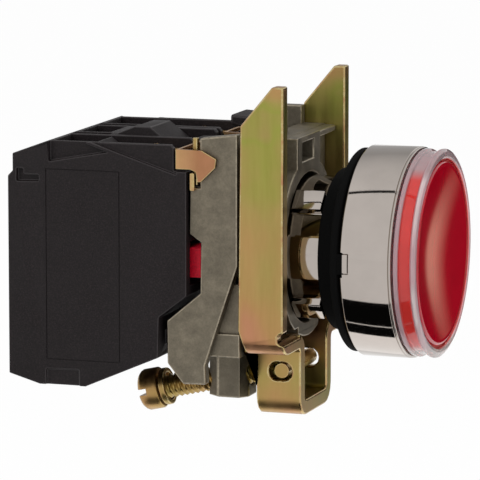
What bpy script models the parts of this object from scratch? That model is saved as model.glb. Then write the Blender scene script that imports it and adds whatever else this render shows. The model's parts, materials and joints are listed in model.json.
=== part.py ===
"""Illuminated panel push button with a clamp collar, two contact blocks and a lamp block.

The origin lies on the button's axis in the plane of the panel's front face. X runs out of
the panel towards the operator, Z is up. Sizes are written in millimetres, and MM turns
them into metres where a mesh is made.
"""
import math

import bmesh
import bpy
from mathutils import Matrix, Vector

MM = 0.001
GAP = 0.3

# Facets of turned pieces
LARGE_ROUND = 36
SMALL_ROUND = 24
SCREW_ROUND = 12
BORE_ROUND = 16
LAMP_HOLE_ROUND = 20

# Head, along X from the panel's front face
PRESS_TRAVEL = 4.3
GASKET_FLANGE_RADIUS = 14.0
GASKET_FLANGE_FRONT = 1.2
GASKET_BOSS_RADIUS = 11.15
GASKET_BOSS_REAR = -2.6
BEZEL_RADIUS = 14.5
BEZEL_REAR = GASKET_FLANGE_FRONT + GAP
BEZEL_FRONT = 8.7
BEZEL_FLOOR = 2.5
BEZEL_BORE = 13.7
BEZEL_EDGE = 0.3
KEY_HALF_HEIGHT = 1.7
NECK_RADIUS = 10.0
NECK_BORE = 9.1
NECK_REAR = -14.3
NECK_FLANGE_RADIUS = 11.4
NECK_FLANGE_FRONT = 3.5
NECK_LEDGE_RADIUS = 7.6
NECK_LEDGE = 1.2
LUG_HALF_WIDTH = 3.0
LUG_HEIGHT = 1.2
RIB_HALF_WIDTH = 1.6
RIB_HEIGHT = 0.9
GUARD_SLEEVE_RADIUS = 13.4
GUARD_BORE = 12.95
GUARD_RIM_RADIUS = 14.3
GUARD_WAIST_RADIUS = 13.85
GUARD_FRONT = 12.0
LENS_RADIUS = 12.65
LENS_FRONT = 11.95
LENS_DISH = 0.6
LENS_DISH_RADIUS = 12.3
LENS_WALL = 1.0
LENS_SKIRT_REAR = BEZEL_FLOOR + GAP + PRESS_TRAVEL
LENS_BACK = NECK_FLANGE_FRONT + GAP + PRESS_TRAVEL + 0.2
PUSHER_RADIUS = 7.2
PUSHER_BORE = 6.0
PUSHER_REAR = -14.9
PUSHER_SHOULDER_RADIUS = 8.8
PUSHER_SHOULDER = (-0.8, 0.6)
SEAL_SPAN = (1.6, 2.7)
RETURN_COIL_RADIUS = 8.15
RETURN_WIRE = 0.6
RETURN_TURNS = 5

# Yoke behind the pusher that reaches the plungers on both sides
YOKE_FRONT = PUSHER_REAR - GAP
YOKE_THICKNESS = 1.6
YOKE_PLATE_HALF_WIDTH = 4.6
YOKE_PLATE_HALF_HEIGHT = 7.5
YOKE_WING_END = 12.1
YOKE_WING_HALF_HEIGHT = 2.1
PLUNGER_TIP = -17.75
PAD_INNER_END = 7.9

# Stirrup that clamps the panel from behind
LEG_OUTSIDE = 15.0
SHEET = 2.1
LEG_FRONT = -6.2
LEG_WIDTH = 6.4
LEG_TAPER = 0.3
LEG_TOP = 23.7
LEG_SLOPE_TOP = -7.8
LEG_SLOPE_FOOT = (-12.1, 18.5)
LEDGE_HEIGHT = -12.05
TAB_OUTSIDE = 7.0
STIRRUP_BOTTOM = -22.7
BEND_RADIUS = 1.7
LEG_FOOT_TAPER = 0.8
RELIEF_HEIGHT = 1.4
RELIEF_RADIUS = 0.9

# Clamp screw, which leans upwards to the front and meets the pin between the tabs
SCREW_LEAN = math.radians(13.0)
PIN_CENTRE = (-9.15, -16.4)
PIN_RADIUS = 1.1
PIN_HOLE_RADIUS = 1.3
PIN_HOLE_SHIFT = 0.4
CLAMP_SCREW_RADIUS = 1.75
CLAMP_HEAD_RADIUS = 2.9
CLAMP_HEAD_SPAN = (-22.9, -20.1)
WASHER_SPAN = (-19.8, -19.0)
WASHER_RADIUS = 2.6

# Collar
COLLAR_FRONT = -7.3
COLLAR_PLATE_FRONT = -9.0
COLLAR_FRAME_REAR = -12.3
COLLAR_HALF_WIDTH = LEG_OUTSIDE - SHEET - GAP
COLLAR_TOP = 15.6
COLLAR_WALL_TOP = 18.6
COLLAR_EAR_TOP = 18.2
COLLAR_BOTTOM = -11.9
COLLAR_BORE = 10.4
COLLAR_RING_RADIUS = 12.4
TOWER_HALF_WIDTH = 5.0
BOSS_HALF_WIDTH = 3.0
BOSS_BOTTOM = -21.3
CHEEK_OUTSIDE = 14.1
CHEEK_INSIDE = 12.4
CHEEK_UPPER_REAR = -18.3
CATCH_OUTSIDE = 14.75
DOWEL_RADIUS = 0.46
DOWEL_SIDE = 13.3
DOWEL_FOOT = (-19.15, 9.85)
DOWEL_TOP = (-19.05, 16.25)

# Blocks behind the collar, side by side along Y
BLOCK_PITCH = 10.0
BLOCK_HALF_WIDTH = 4.85
BLOCK_WALL = 1.35
COVER_THICKNESS = 1.1
COVER_INSIDE = BLOCK_HALF_WIDTH - COVER_THICKNESS
BLOCK_PLACE = (-0.45, 0.0, -1.05)
BLOCK_REAR = -45.5
BLOCK_FRONT = -19.55
BLOCK_TOP = 16.3
BLOCK_BOTTOM = -17.6
LAMP_FRONT = -21.6
RIDGE_PEAK = (-33.3, 16.1)
RIDGE_FOOT = 13.0

# Terminals, with screws reached from the rear
TERMINAL_HEIGHT = 9.6
TERMINAL_HEAD_RADIUS = 2.6
TERMINAL_HEAD_SPAN = (-41.2, -39.2)
TERMINAL_SCREW_RADIUS = 1.7
TERMINAL_SCREW_END = -32.3
TERMINAL_BORE = 3.1
SADDLE_SPAN = (-38.9, -37.8)
SADDLE_HALF = 3.0
STRIP_THICKNESS = 0.8
STRIP_HALF_WIDTH = 2.4
STRIP_PLATE_REAR = -34.6
STRIP_INNER_HEIGHT = 6.6
STRIP_TOP = 12.2
WIRE_MOUTH = (-39.2, -34.7)
MOUTH_TOP = 18.5

# Contact mechanism inside a contact block
PLUNGER_HALF_WIDTH = 2.2
PLUNGER_HALF_HEIGHT = 2.05
PLUNGER_REAR = -34.5
CHAMBER_HALF_WIDTH = 3.2
CHAMBER_HALF_HEIGHT = 3.0
WINDOW_HALF_WIDTH = 1.35
BRIDGE_SPAN = (-26.9, -26.1)
BRIDGE_HALF_LENGTH = 6.2
BRIDGE_HALF_WIDTH = 1.05
BUTTON_HEIGHT = 5.4
BUTTON_HALF = 0.8
CONTACT_WIRE = 0.32
CONTACT_COIL_RADIUS = 0.95
BLOCK_COIL_RADIUS = 1.5
BLOCK_WIRE = 0.4
BLOCK_CAVITY_REAR = -42.3

# Sheet hooks on the contact blocks and the latch on the lamp block
HOOK_SHEET = 0.5
HOOK_TOP = 15.8
HOOK_ARM_REAR = -21.1
HOOK_PLATE_FRONT = -20.6
HOOK_TONGUE_HALF_WIDTH = 2.6
HOOK_TONGUE_TOP = 15.0
HOOK_PIVOT = (-26.6, 14.8)
HOOK_PIVOT_RADIUS = 0.7
LATCH_PIVOT = (-22.6, 14.7)
LATCH_HALF_WIDTH = 3.2

# Lamp
LAMP_RADIUS = 3.2
LAMP_REAR = -24.2
LAMP_SHOULDER = -14.0
LAMP_TIP = -10.8
BOARD_SPAN = (-25.5, -24.5)


def clear_scene():
    """Remove every object, so that the model starts from an empty scene."""
    for leftover in list(bpy.data.objects):
        bpy.data.objects.remove(leftover, do_unlink=True)


def finish_of(name, colour, roughness, metallic=0.0, transmission=0.0):
    """Return a Principled material of the given colour."""
    made = bpy.data.materials.get(name)
    if made is None:
        made = bpy.data.materials.new(name)
        made.use_nodes = True
        shader = made.node_tree.nodes["Principled BSDF"]
        shader.inputs["Base Color"].default_value = (*colour, 1.0)
        shader.inputs["Roughness"].default_value = roughness
        shader.inputs["Metallic"].default_value = metallic
        shader.inputs["Transmission Weight"].default_value = transmission
        made.diffuse_color = (*colour, 1.0)
    return made


FINISHES = {
    "chrome": ((0.78, 0.75, 0.73), 0.12, 1.0),
    "rubber": ((0.02, 0.02, 0.02), 0.85),
    "clear": ((0.95, 0.93, 0.93), 0.08, 0.0, 0.9),
    "red_lens": ((0.62, 0.02, 0.03), 0.18),
    "white_plastic": ((0.85, 0.85, 0.82), 0.45),
    "black_plastic": ((0.035, 0.032, 0.035), 0.6),
    "die_cast": ((0.36, 0.33, 0.29), 0.5, 0.9),
    "yellow_zinc": ((0.62, 0.46, 0.2), 0.35, 1.0),
    "spring_steel": ((0.55, 0.55, 0.55), 0.3, 1.0),
    "red_plastic": ((0.55, 0.01, 0.06), 0.45),
    "green_plastic": ((0.03, 0.35, 0.1), 0.45),
    "brass": ((0.72, 0.55, 0.25), 0.3, 1.0),
    "copper": ((0.75, 0.42, 0.28), 0.3, 1.0),
    "board_green": ((0.04, 0.22, 0.1), 0.5),
    "lamp_clear": ((0.9, 0.85, 0.85), 0.1, 0.0, 0.6),
}


def make_object(name, mesh_maker, finish=None):
    """Make an object from a function that fills a bmesh with closed bodies."""
    shape = bmesh.new()
    mesh_maker(shape)
    bmesh.ops.remove_doubles(shape, verts=shape.verts, dist=0.001 * MM)
    bmesh.ops.recalc_face_normals(shape, faces=shape.faces)
    mesh = bpy.data.meshes.new(name)
    shape.to_mesh(mesh)
    shape.free()
    made = bpy.data.objects.new(name, mesh)
    bpy.context.scene.collection.objects.link(made)
    if finish:
        mesh.materials.append(finish_of(finish, *FINISHES[finish]))
        mesh.shade_smooth()
        mesh.set_sharp_from_angle(angle=math.radians(35))
    return made


def make_guide(name, mesh_maker):
    """Make a Boolean operand, which isn't a piece of the object."""
    guide = make_object(name, mesh_maker)
    guide.hide_render = True
    guide.display_type = "WIRE"
    return guide


def combine(target, operation, name, mesh_maker):
    """Cut the target with a guide, or add the guide's shape to it."""
    modifier = target.modifiers.new(name, "BOOLEAN")
    modifier.operation = operation
    modifier.object = make_guide(target.name + "." + name, mesh_maker)


def cut(target, name, mesh_maker):
    """Take a guide's shape out of the target."""
    combine(target, "DIFFERENCE", name, mesh_maker)


def add(target, name, mesh_maker):
    """Join a guide's shape to the target."""
    combine(target, "UNION", name, mesh_maker)


def place_origin(piece, point):
    """Put a moving piece's origin on its joint's axis, leaving its shape where it is."""
    offset = Vector(point) * MM
    piece.data.transform(Matrix.Translation(-offset))
    piece.location = offset


def fill_box(shape, low, high):
    """Add a box between two corners."""
    low, high = Vector(low) * MM, Vector(high) * MM
    middle = Matrix.Translation((low + high) / 2)
    bmesh.ops.create_cube(shape, size=1.0, matrix=middle @ Matrix.Diagonal((*(high - low), 1.0)))


def fill_prism(shape, outline, start, end, axis="Y"):
    """Add an outline of two coordinates, extruded along the third axis."""
    places = {
        "X": lambda a, b, depth: (depth, a, b),
        "Y": lambda a, b, depth: (a, depth, b),
        "Z": lambda a, b, depth: (a, b, depth),
    }[axis]
    corners = [shape.verts.new(Vector(places(a, b, start)) * MM) for a, b in outline]
    base = shape.faces.new(corners)
    grown = bmesh.ops.extrude_face_region(shape, geom=[base], use_keep_orig=True)
    moved = [item for item in grown["geom"] if isinstance(item, bmesh.types.BMVert)]
    shift = Vector(places(0.0, 0.0, end)) - Vector(places(0.0, 0.0, start))
    bmesh.ops.translate(shape, verts=moved, vec=shift * MM)


def fill_turned(shape, profile, facets, closed=True):
    """Add a body of revolution about X from (x, radius) points."""
    verts = [shape.verts.new(Vector((x, 0.0, radius)) * MM) for x, radius in profile]
    edges = [shape.edges.new(pair) for pair in zip(verts, verts[1:])]
    if closed:
        edges.append(shape.edges.new((verts[-1], verts[0])))
    bmesh.ops.spin(
        shape, geom=verts + edges, cent=(0, 0, 0), axis=(1, 0, 0),
        angle=math.tau, steps=facets, use_merge=True,
    )


def fill_rod(shape, start, end, radius, facets):
    """Add a round bar between two points."""
    start, end = Vector(start) * MM, Vector(end) * MM
    along = end - start
    turn = along.to_track_quat("Z", "Y").to_matrix().to_4x4()
    bmesh.ops.create_cone(
        shape, cap_ends=True, cap_tris=False, segments=facets, radius1=radius * MM,
        radius2=radius * MM, depth=along.length, matrix=Matrix.Translation((start + end) / 2) @ turn,
    )


def mirrored(outline):
    """Return an outline mirrored in its second coordinate."""
    return [(a, -b) for a, b in outline]


def turned_piece(name, profile, facets, finish, closed=True):
    """Make a piece that is turned about the button's axis."""
    return make_object(name, lambda shape: fill_turned(shape, profile, facets, closed), finish)


def prism_piece(name, outline, start, end, finish, axis="Y"):
    """Make a piece that is an extruded outline."""
    return make_object(name, lambda shape: fill_prism(shape, outline, start, end, axis), finish)


def spring_piece(name, start, end, centre, coil_radius, wire, turns):
    """Make a compression spring along X as one tube, and print its least gap to itself."""
    points_per_turn = 8
    count = turns * points_per_turn
    along = [start + wire / 2 + (end - start - wire) * step / count for step in range(count + 1)]
    turn = math.tau / points_per_turn
    path = [
        Vector((
            x,
            centre[0] + coil_radius * math.cos(step * turn),
            centre[1] + coil_radius * math.sin(step * turn),
        ))
        for step, x in enumerate(along)
    ]
    gaps = [
        (path[one] - path[other]).length - wire
        for one in range(len(path))
        for other in range(one + points_per_turn // 2, len(path))
    ]
    print(f"{name}: least gap between turns {min(gaps):.2f} mm")
    curve = bpy.data.curves.new(name, "CURVE")
    curve.dimensions = "3D"
    curve.bevel_depth = wire / 2 * MM
    curve.bevel_resolution = 1
    curve.use_fill_caps = True
    spline = curve.splines.new("POLY")
    spline.points.add(len(path) - 1)
    for point, place in zip(spline.points, path):
        point.co = (*(place * MM), 1.0)
    curve.materials.append(finish_of("spring_steel", *FINISHES["spring_steel"]))
    spring = bpy.data.objects.new(name, curve)
    bpy.context.scene.collection.objects.link(spring)
    return spring


def make_head():
    """Make the fixed pieces in front of the panel and the neck through it."""
    key_front = BEZEL_REAR + 0.9
    gasket = turned_piece("gasket", [
        (GASKET_BOSS_REAR, NECK_RADIUS + GAP),
        (GASKET_BOSS_REAR, GASKET_BOSS_RADIUS),
        (0.2, GASKET_BOSS_RADIUS),
        (0.2, GASKET_BOSS_RADIUS + 0.7),
        (0.0, GASKET_BOSS_RADIUS + 0.7),
        (0.0, GASKET_FLANGE_RADIUS),
        (GASKET_FLANGE_FRONT, GASKET_FLANGE_RADIUS),
        (GASKET_FLANGE_FRONT, NECK_RADIUS + GAP),
    ], LARGE_ROUND, "rubber")
    add(gasket, "key", lambda shape: fill_box(
        shape,
        (GASKET_FLANGE_FRONT / 2, -GASKET_FLANGE_RADIUS + 0.1, -KEY_HALF_HEIGHT + GAP),
        (key_front - GAP, -GASKET_FLANGE_RADIUS + 0.6, KEY_HALF_HEIGHT - GAP),
    ))

    bezel = turned_piece("bezel", [
        (BEZEL_REAR, NECK_RADIUS + GAP),
        (BEZEL_REAR, BEZEL_RADIUS - BEZEL_EDGE),
        (BEZEL_REAR + BEZEL_EDGE, BEZEL_RADIUS),
        (BEZEL_FRONT - BEZEL_EDGE, BEZEL_RADIUS),
        (BEZEL_FRONT, BEZEL_RADIUS - BEZEL_EDGE),
        (BEZEL_FRONT, BEZEL_BORE),
        (BEZEL_FLOOR, BEZEL_BORE),
        (BEZEL_FLOOR, NECK_RADIUS + GAP),
    ], LARGE_ROUND, "chrome")
    cut(bezel, "key_notch", lambda shape: fill_box(
        shape,
        (BEZEL_REAR - 1.0, -BEZEL_RADIUS - 1.0, -KEY_HALF_HEIGHT),
        (key_front, -BEZEL_BORE + 0.6, KEY_HALF_HEIGHT),
    ))
    cut(bezel, "key_step", lambda shape: fill_box(
        shape,
        (key_front - 0.2, -BEZEL_RADIUS - 1.0, -KEY_HALF_HEIGHT),
        (key_front + 0.6, -BEZEL_RADIUS + 0.45, KEY_HALF_HEIGHT),
    ))

    neck = turned_piece("neck", [
        (NECK_REAR, NECK_LEDGE_RADIUS),
        (NECK_REAR, NECK_RADIUS),
        (BEZEL_FLOOR + GAP, NECK_RADIUS),
        (BEZEL_FLOOR + GAP, NECK_FLANGE_RADIUS),
        (NECK_FLANGE_FRONT, NECK_FLANGE_RADIUS),
        (NECK_FLANGE_FRONT, NECK_BORE),
        (NECK_REAR + NECK_LEDGE, NECK_BORE),
        (NECK_REAR + NECK_LEDGE, NECK_LEDGE_RADIUS),
    ], LARGE_ROUND, "chrome")
    add(neck, "lugs_and_ribs", fill_neck_lugs)

    turned_piece("guard_ring", [
        (5.0, GUARD_BORE),
        (5.0, GUARD_SLEEVE_RADIUS),
        (BEZEL_FRONT + GAP, GUARD_SLEEVE_RADIUS),
        (BEZEL_FRONT + GAP, GUARD_RIM_RADIUS - 0.05),
        (BEZEL_FRONT + 0.85, GUARD_RIM_RADIUS - 0.05),
        (BEZEL_FRONT + 1.05, GUARD_WAIST_RADIUS),
        (GUARD_FRONT - 0.9, GUARD_WAIST_RADIUS),
        (GUARD_FRONT - 0.65, GUARD_RIM_RADIUS),
        (GUARD_FRONT - 0.35, GUARD_RIM_RADIUS),
        (GUARD_FRONT - 0.05, GUARD_RIM_RADIUS - 0.45),
        (GUARD_FRONT, GUARD_BORE + 0.35),
        (GUARD_FRONT - 0.15, GUARD_BORE),
    ], LARGE_ROUND, "clear")

    turned_piece("wiper_seal", [
        (SEAL_SPAN[0], PUSHER_RADIUS + GAP),
        (SEAL_SPAN[0], NECK_BORE - 0.25),
        (SEAL_SPAN[1], NECK_BORE - 0.25),
        (SEAL_SPAN[1], PUSHER_RADIUS + GAP),
    ], SMALL_ROUND, "rubber")


def fill_neck_lugs(shape):
    """Add the two bayonet lugs at the neck's rear and the four ribs in the panel hole."""
    for side in (-1, 1):
        near, far = sorted((side * (NECK_RADIUS - 0.5), side * (NECK_RADIUS + LUG_HEIGHT)))
        fill_box(
            shape,
            (NECK_REAR + 0.1, near, -LUG_HALF_WIDTH),
            (COLLAR_FRAME_REAR - 0.4, far, LUG_HALF_WIDTH),
        )
    for quarter in range(4):
        rib = bmesh.new()
        fill_box(
            rib,
            (COLLAR_FRONT + GAP, NECK_RADIUS - 0.5, -RIB_HALF_WIDTH),
            (GASKET_BOSS_REAR - GAP, NECK_RADIUS + RIB_HEIGHT, RIB_HALF_WIDTH),
        )
        turn = Matrix.Rotation(math.radians(45 + 90 * quarter), 4, "X")
        bmesh.ops.transform(rib, matrix=turn, verts=rib.verts)
        spare = bpy.data.meshes.new("rib")
        rib.to_mesh(spare)
        rib.free()
        shape.from_mesh(spare)
        bpy.data.meshes.remove(spare)


def make_button():
    """Make the pieces that move together when the button is pressed."""
    steps = 6
    dish = [
        (
            LENS_FRONT - LENS_DISH * (1.0 - (step / steps) ** 2),
            LENS_DISH_RADIUS * step / steps,
        )
        for step in range(steps + 1)
    ]
    turned_piece("lens", dish + [
        (LENS_FRONT - 0.3, LENS_RADIUS),
        (LENS_SKIRT_REAR, LENS_RADIUS),
        (LENS_SKIRT_REAR, LENS_RADIUS - LENS_WALL),
        (LENS_BACK, LENS_RADIUS - LENS_WALL),
        (LENS_BACK, 0.0),
    ], LARGE_ROUND, "red_lens", closed=False)

    turned_piece("pusher", [
        (PUSHER_REAR, PUSHER_BORE),
        (PUSHER_REAR, PUSHER_RADIUS),
        (PUSHER_SHOULDER[0], PUSHER_RADIUS),
        (PUSHER_SHOULDER[0], PUSHER_SHOULDER_RADIUS),
        (PUSHER_SHOULDER[1], PUSHER_SHOULDER_RADIUS),
        (PUSHER_SHOULDER[1], PUSHER_RADIUS),
        (LENS_BACK - GAP, PUSHER_RADIUS),
        (LENS_BACK - GAP, PUSHER_BORE),
    ], SMALL_ROUND, "white_plastic")

    yoke_rear = YOKE_FRONT - YOKE_THICKNESS
    yoke = make_object("pusher_yoke", lambda shape: fill_box(
        shape,
        (yoke_rear, -YOKE_PLATE_HALF_WIDTH, -YOKE_PLATE_HALF_HEIGHT),
        (YOKE_FRONT, YOKE_PLATE_HALF_WIDTH, YOKE_PLATE_HALF_HEIGHT),
    ), "black_plastic")
    pad_rear = PLUNGER_TIP + BLOCK_PLACE[0] + GAP
    low, high = BLOCK_PLACE[2] - YOKE_WING_HALF_HEIGHT, BLOCK_PLACE[2] + YOKE_WING_HALF_HEIGHT
    wing_root = YOKE_PLATE_HALF_WIDTH - 0.5
    for name, side in (("near_wing", -1), ("far_wing", 1)):
        wing = [
            (YOKE_FRONT - 0.1, side * wing_root),
            (YOKE_FRONT - 0.1, side * YOKE_WING_END),
            (pad_rear, side * YOKE_WING_END),
            (pad_rear, side * PAD_INNER_END),
            (yoke_rear + 0.1, side * PAD_INNER_END),
            (yoke_rear + 0.1, side * wing_root),
        ]
        add(yoke, name, lambda shape, wing=wing: fill_prism(shape, wing, low, high, "Z"))
    cut(yoke, "lamp_hole", lambda shape: fill_rod(
        shape, (yoke_rear - 1.0, 0, BLOCK_PLACE[2]), (YOKE_FRONT + 1.0, 0, BLOCK_PLACE[2]),
        LAMP_RADIUS + 0.6, SMALL_ROUND,
    ))

    spring_piece(
        "return_spring", NECK_REAR + NECK_LEDGE + 0.2, PUSHER_SHOULDER[0] - 0.2, (0.0, 0.0),
        RETURN_COIL_RADIUS, RETURN_WIRE, RETURN_TURNS,
    )


def bent_strip(path, thickness, radius, steps=4):
    """Return the outline of a sheet of even thickness along a path with round bends."""
    corners = [Vector(point) for point in path]
    half_sheet = thickness / 2
    left, right = [], []

    def add_end(point, heading):
        aside = Vector((-heading.y, heading.x)) * half_sheet
        left.append(tuple(point + aside))
        right.append(tuple(point - aside))

    add_end(corners[0], (corners[1] - corners[0]).normalized())
    for before, corner, after in zip(corners, corners[1:], corners[2:]):
        back = (before - corner).normalized()
        ahead = (after - corner).normalized()
        half = back.angle(ahead) / 2
        hub = corner + (back + ahead).normalized() * radius / math.sin(half)
        first = corner + back * radius / math.tan(half) - hub
        turns_left = back.cross(ahead) < 0
        sweep = (math.pi - 2 * half) * (1 if turns_left else -1)
        inner, outer = (left, right) if turns_left else (right, left)
        for step in range(steps + 1):
            spoke = (Matrix.Rotation(sweep * step / steps, 2) @ first).normalized()
            inner.append(tuple(hub + spoke * (radius - half_sheet)))
            outer.append(tuple(hub + spoke * (radius + half_sheet)))
    add_end(corners[-1], (corners[-1] - corners[-2]).normalized())
    return left + right[::-1]


def make_clamp():
    """Make the stirrup, its cross pin, the clamp screw and the screw's washer."""
    leg, tab = LEG_OUTSIDE - SHEET / 2, TAB_OUTSIDE - SHEET / 2
    foot = STIRRUP_BOTTOM + SHEET / 2
    path = [
        (-leg, LEG_TOP), (-leg, LEDGE_HEIGHT), (-tab, LEDGE_HEIGHT), (-tab, foot),
        (tab, foot), (tab, LEDGE_HEIGHT), (leg, LEDGE_HEIGHT), (leg, LEG_TOP),
    ]
    outline = bent_strip(path, SHEET, BEND_RADIUS)
    stirrup = prism_piece("stirrup", outline, LEG_FRONT - LEG_WIDTH, LEG_FRONT, "yellow_zinc", "X")
    reach = LEG_OUTSIDE + 2.0
    leg_rear = LEG_FRONT - LEG_WIDTH
    foot_x, foot_z = LEG_SLOPE_FOOT
    slope = (LEG_TOP - foot_z) / (LEG_SLOPE_TOP - foot_x)
    past_rear = leg_rear - 1.0
    cut(stirrup, "leg_slopes", lambda shape: fill_prism(shape, [
        (past_rear, foot_z + (past_rear - foot_x) * slope),
        (LEG_SLOPE_TOP, LEG_TOP),
        (LEG_SLOPE_TOP + 0.6, LEG_TOP + 1.0),
        (past_rear, LEG_TOP + 1.0),
    ], -reach, reach))
    taper_foot = LEDGE_HEIGHT + 2.4
    cut(stirrup, "leg_taper", lambda shape: fill_prism(shape, [
        (past_rear, taper_foot),
        (leg_rear, taper_foot),
        (leg_rear + LEG_TAPER, foot_z),
        (leg_rear + LEG_TAPER, LEG_TOP),
        (past_rear, LEG_TOP),
    ], -reach, reach))
    for name, shift in (("pin_hole_rear", -PIN_HOLE_SHIFT), ("pin_hole_front", PIN_HOLE_SHIFT)):
        along = PIN_CENTRE[0] + shift
        cut(stirrup, name, lambda shape, along=along: fill_rod(
            shape, (along, -reach, PIN_CENTRE[1]), (along, reach, PIN_CENTRE[1]),
            PIN_HOLE_RADIUS, SCREW_ROUND,
        ))
    for name, side in (("near_foot_taper", -1), ("far_foot_taper", 1)):
        cut(stirrup, name, lambda shape, side=side: fill_prism(shape, [
            (past_rear, taper_foot),
            (leg_rear, taper_foot),
            (leg_rear + LEG_FOOT_TAPER * 0.75, LEDGE_HEIGHT + 0.4),
            (leg_rear + LEG_FOOT_TAPER, LEDGE_HEIGHT - 2.0),
            (past_rear, LEDGE_HEIGHT - 2.0),
        ], side * (LEG_OUTSIDE - SHEET - 0.6), side * reach))
    for name, side in (("near_relief", -1), ("far_relief", 1)):
        cut(stirrup, name, lambda shape, side=side: fill_rod(
            shape,
            (LEG_FRONT, side * reach, LEDGE_HEIGHT + RELIEF_HEIGHT),
            (LEG_FRONT, side * TAB_OUTSIDE, LEDGE_HEIGHT + RELIEF_HEIGHT),
            RELIEF_RADIUS, SCREW_ROUND,
        ))

    pin_end = TAB_OUTSIDE - 0.6
    make_object("cross_pin", lambda shape: fill_rod(
        shape, (PIN_CENTRE[0], -pin_end, PIN_CENTRE[1]), (PIN_CENTRE[0], pin_end, PIN_CENTRE[1]),
        PIN_RADIUS, SCREW_ROUND,
    ), "yellow_zinc")

    screw_end = -PIN_RADIUS - GAP
    screw = turned_piece("clamp_screw", [
        (CLAMP_HEAD_SPAN[0], 0.0),
        (CLAMP_HEAD_SPAN[0], CLAMP_HEAD_RADIUS - 0.3),
        (CLAMP_HEAD_SPAN[0] + 0.3, CLAMP_HEAD_RADIUS),
        (CLAMP_HEAD_SPAN[1], CLAMP_HEAD_RADIUS),
        (CLAMP_HEAD_SPAN[1], CLAMP_SCREW_RADIUS),
        (screw_end - 0.6, CLAMP_SCREW_RADIUS),
        (screw_end, CLAMP_SCREW_RADIUS - 0.6),
        (screw_end, 0.0),
    ], SCREW_ROUND, "yellow_zinc", closed=False)
    cut(screw, "slot", lambda shape: fill_box(
        shape, (CLAMP_HEAD_SPAN[0] - 1.0, -4.0, -0.45), (CLAMP_HEAD_SPAN[0] + 1.3, 4.0, 0.45),
    ))
    washer = turned_piece("screw_washer", [
        (WASHER_SPAN[0], CLAMP_SCREW_RADIUS + 0.2),
        (WASHER_SPAN[0], WASHER_RADIUS),
        (WASHER_SPAN[1], WASHER_RADIUS),
        (WASHER_SPAN[1], CLAMP_SCREW_RADIUS + 0.2),
    ], SCREW_ROUND, "yellow_zinc")
    slot_guide = bpy.data.objects["clamp_screw.slot"]
    for leaning in (screw, washer, slot_guide):
        leaning.rotation_euler = (0.0, -SCREW_LEAN, 0.0)
        leaning.location = Vector((PIN_CENTRE[0], 0.0, PIN_CENTRE[1])) * MM


CHEEK_OUTLINE = [
    (CHEEK_UPPER_REAR, 16.3),
    (-12.95, 17.0),
    (-12.95, -1.0),
    (-17.6, -14.9),
    (-17.5, -17.5),
    (-20.8, -17.6),
    (-23.05, -14.85),
    (-23.15, -9.0),
    (-18.3, -4.9),
    (-18.2, 2.15),
    (-19.7, 3.1),
    (-19.65, 9.5),
    (CHEEK_UPPER_REAR, 9.5),
]

# Wall inside a cheek, in front of the cheek's diagonal edge
CHEEK_WEB = [(-12.95, -3.8), (-15.0, -3.8), (-18.5, -13.6), (-12.95, -13.6)]

# Shelf behind the frame with the lip that the latch reaches over
LATCH_SEAT = [
    (COLLAR_FRAME_REAR + 0.6, 11.0),
    (COLLAR_FRAME_REAR + 0.6, 13.6),
    (-14.3, 13.6),
    (-14.3, 15.15),
    (-15.2, 15.15),
    (-15.2, 11.0),
]


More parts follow.
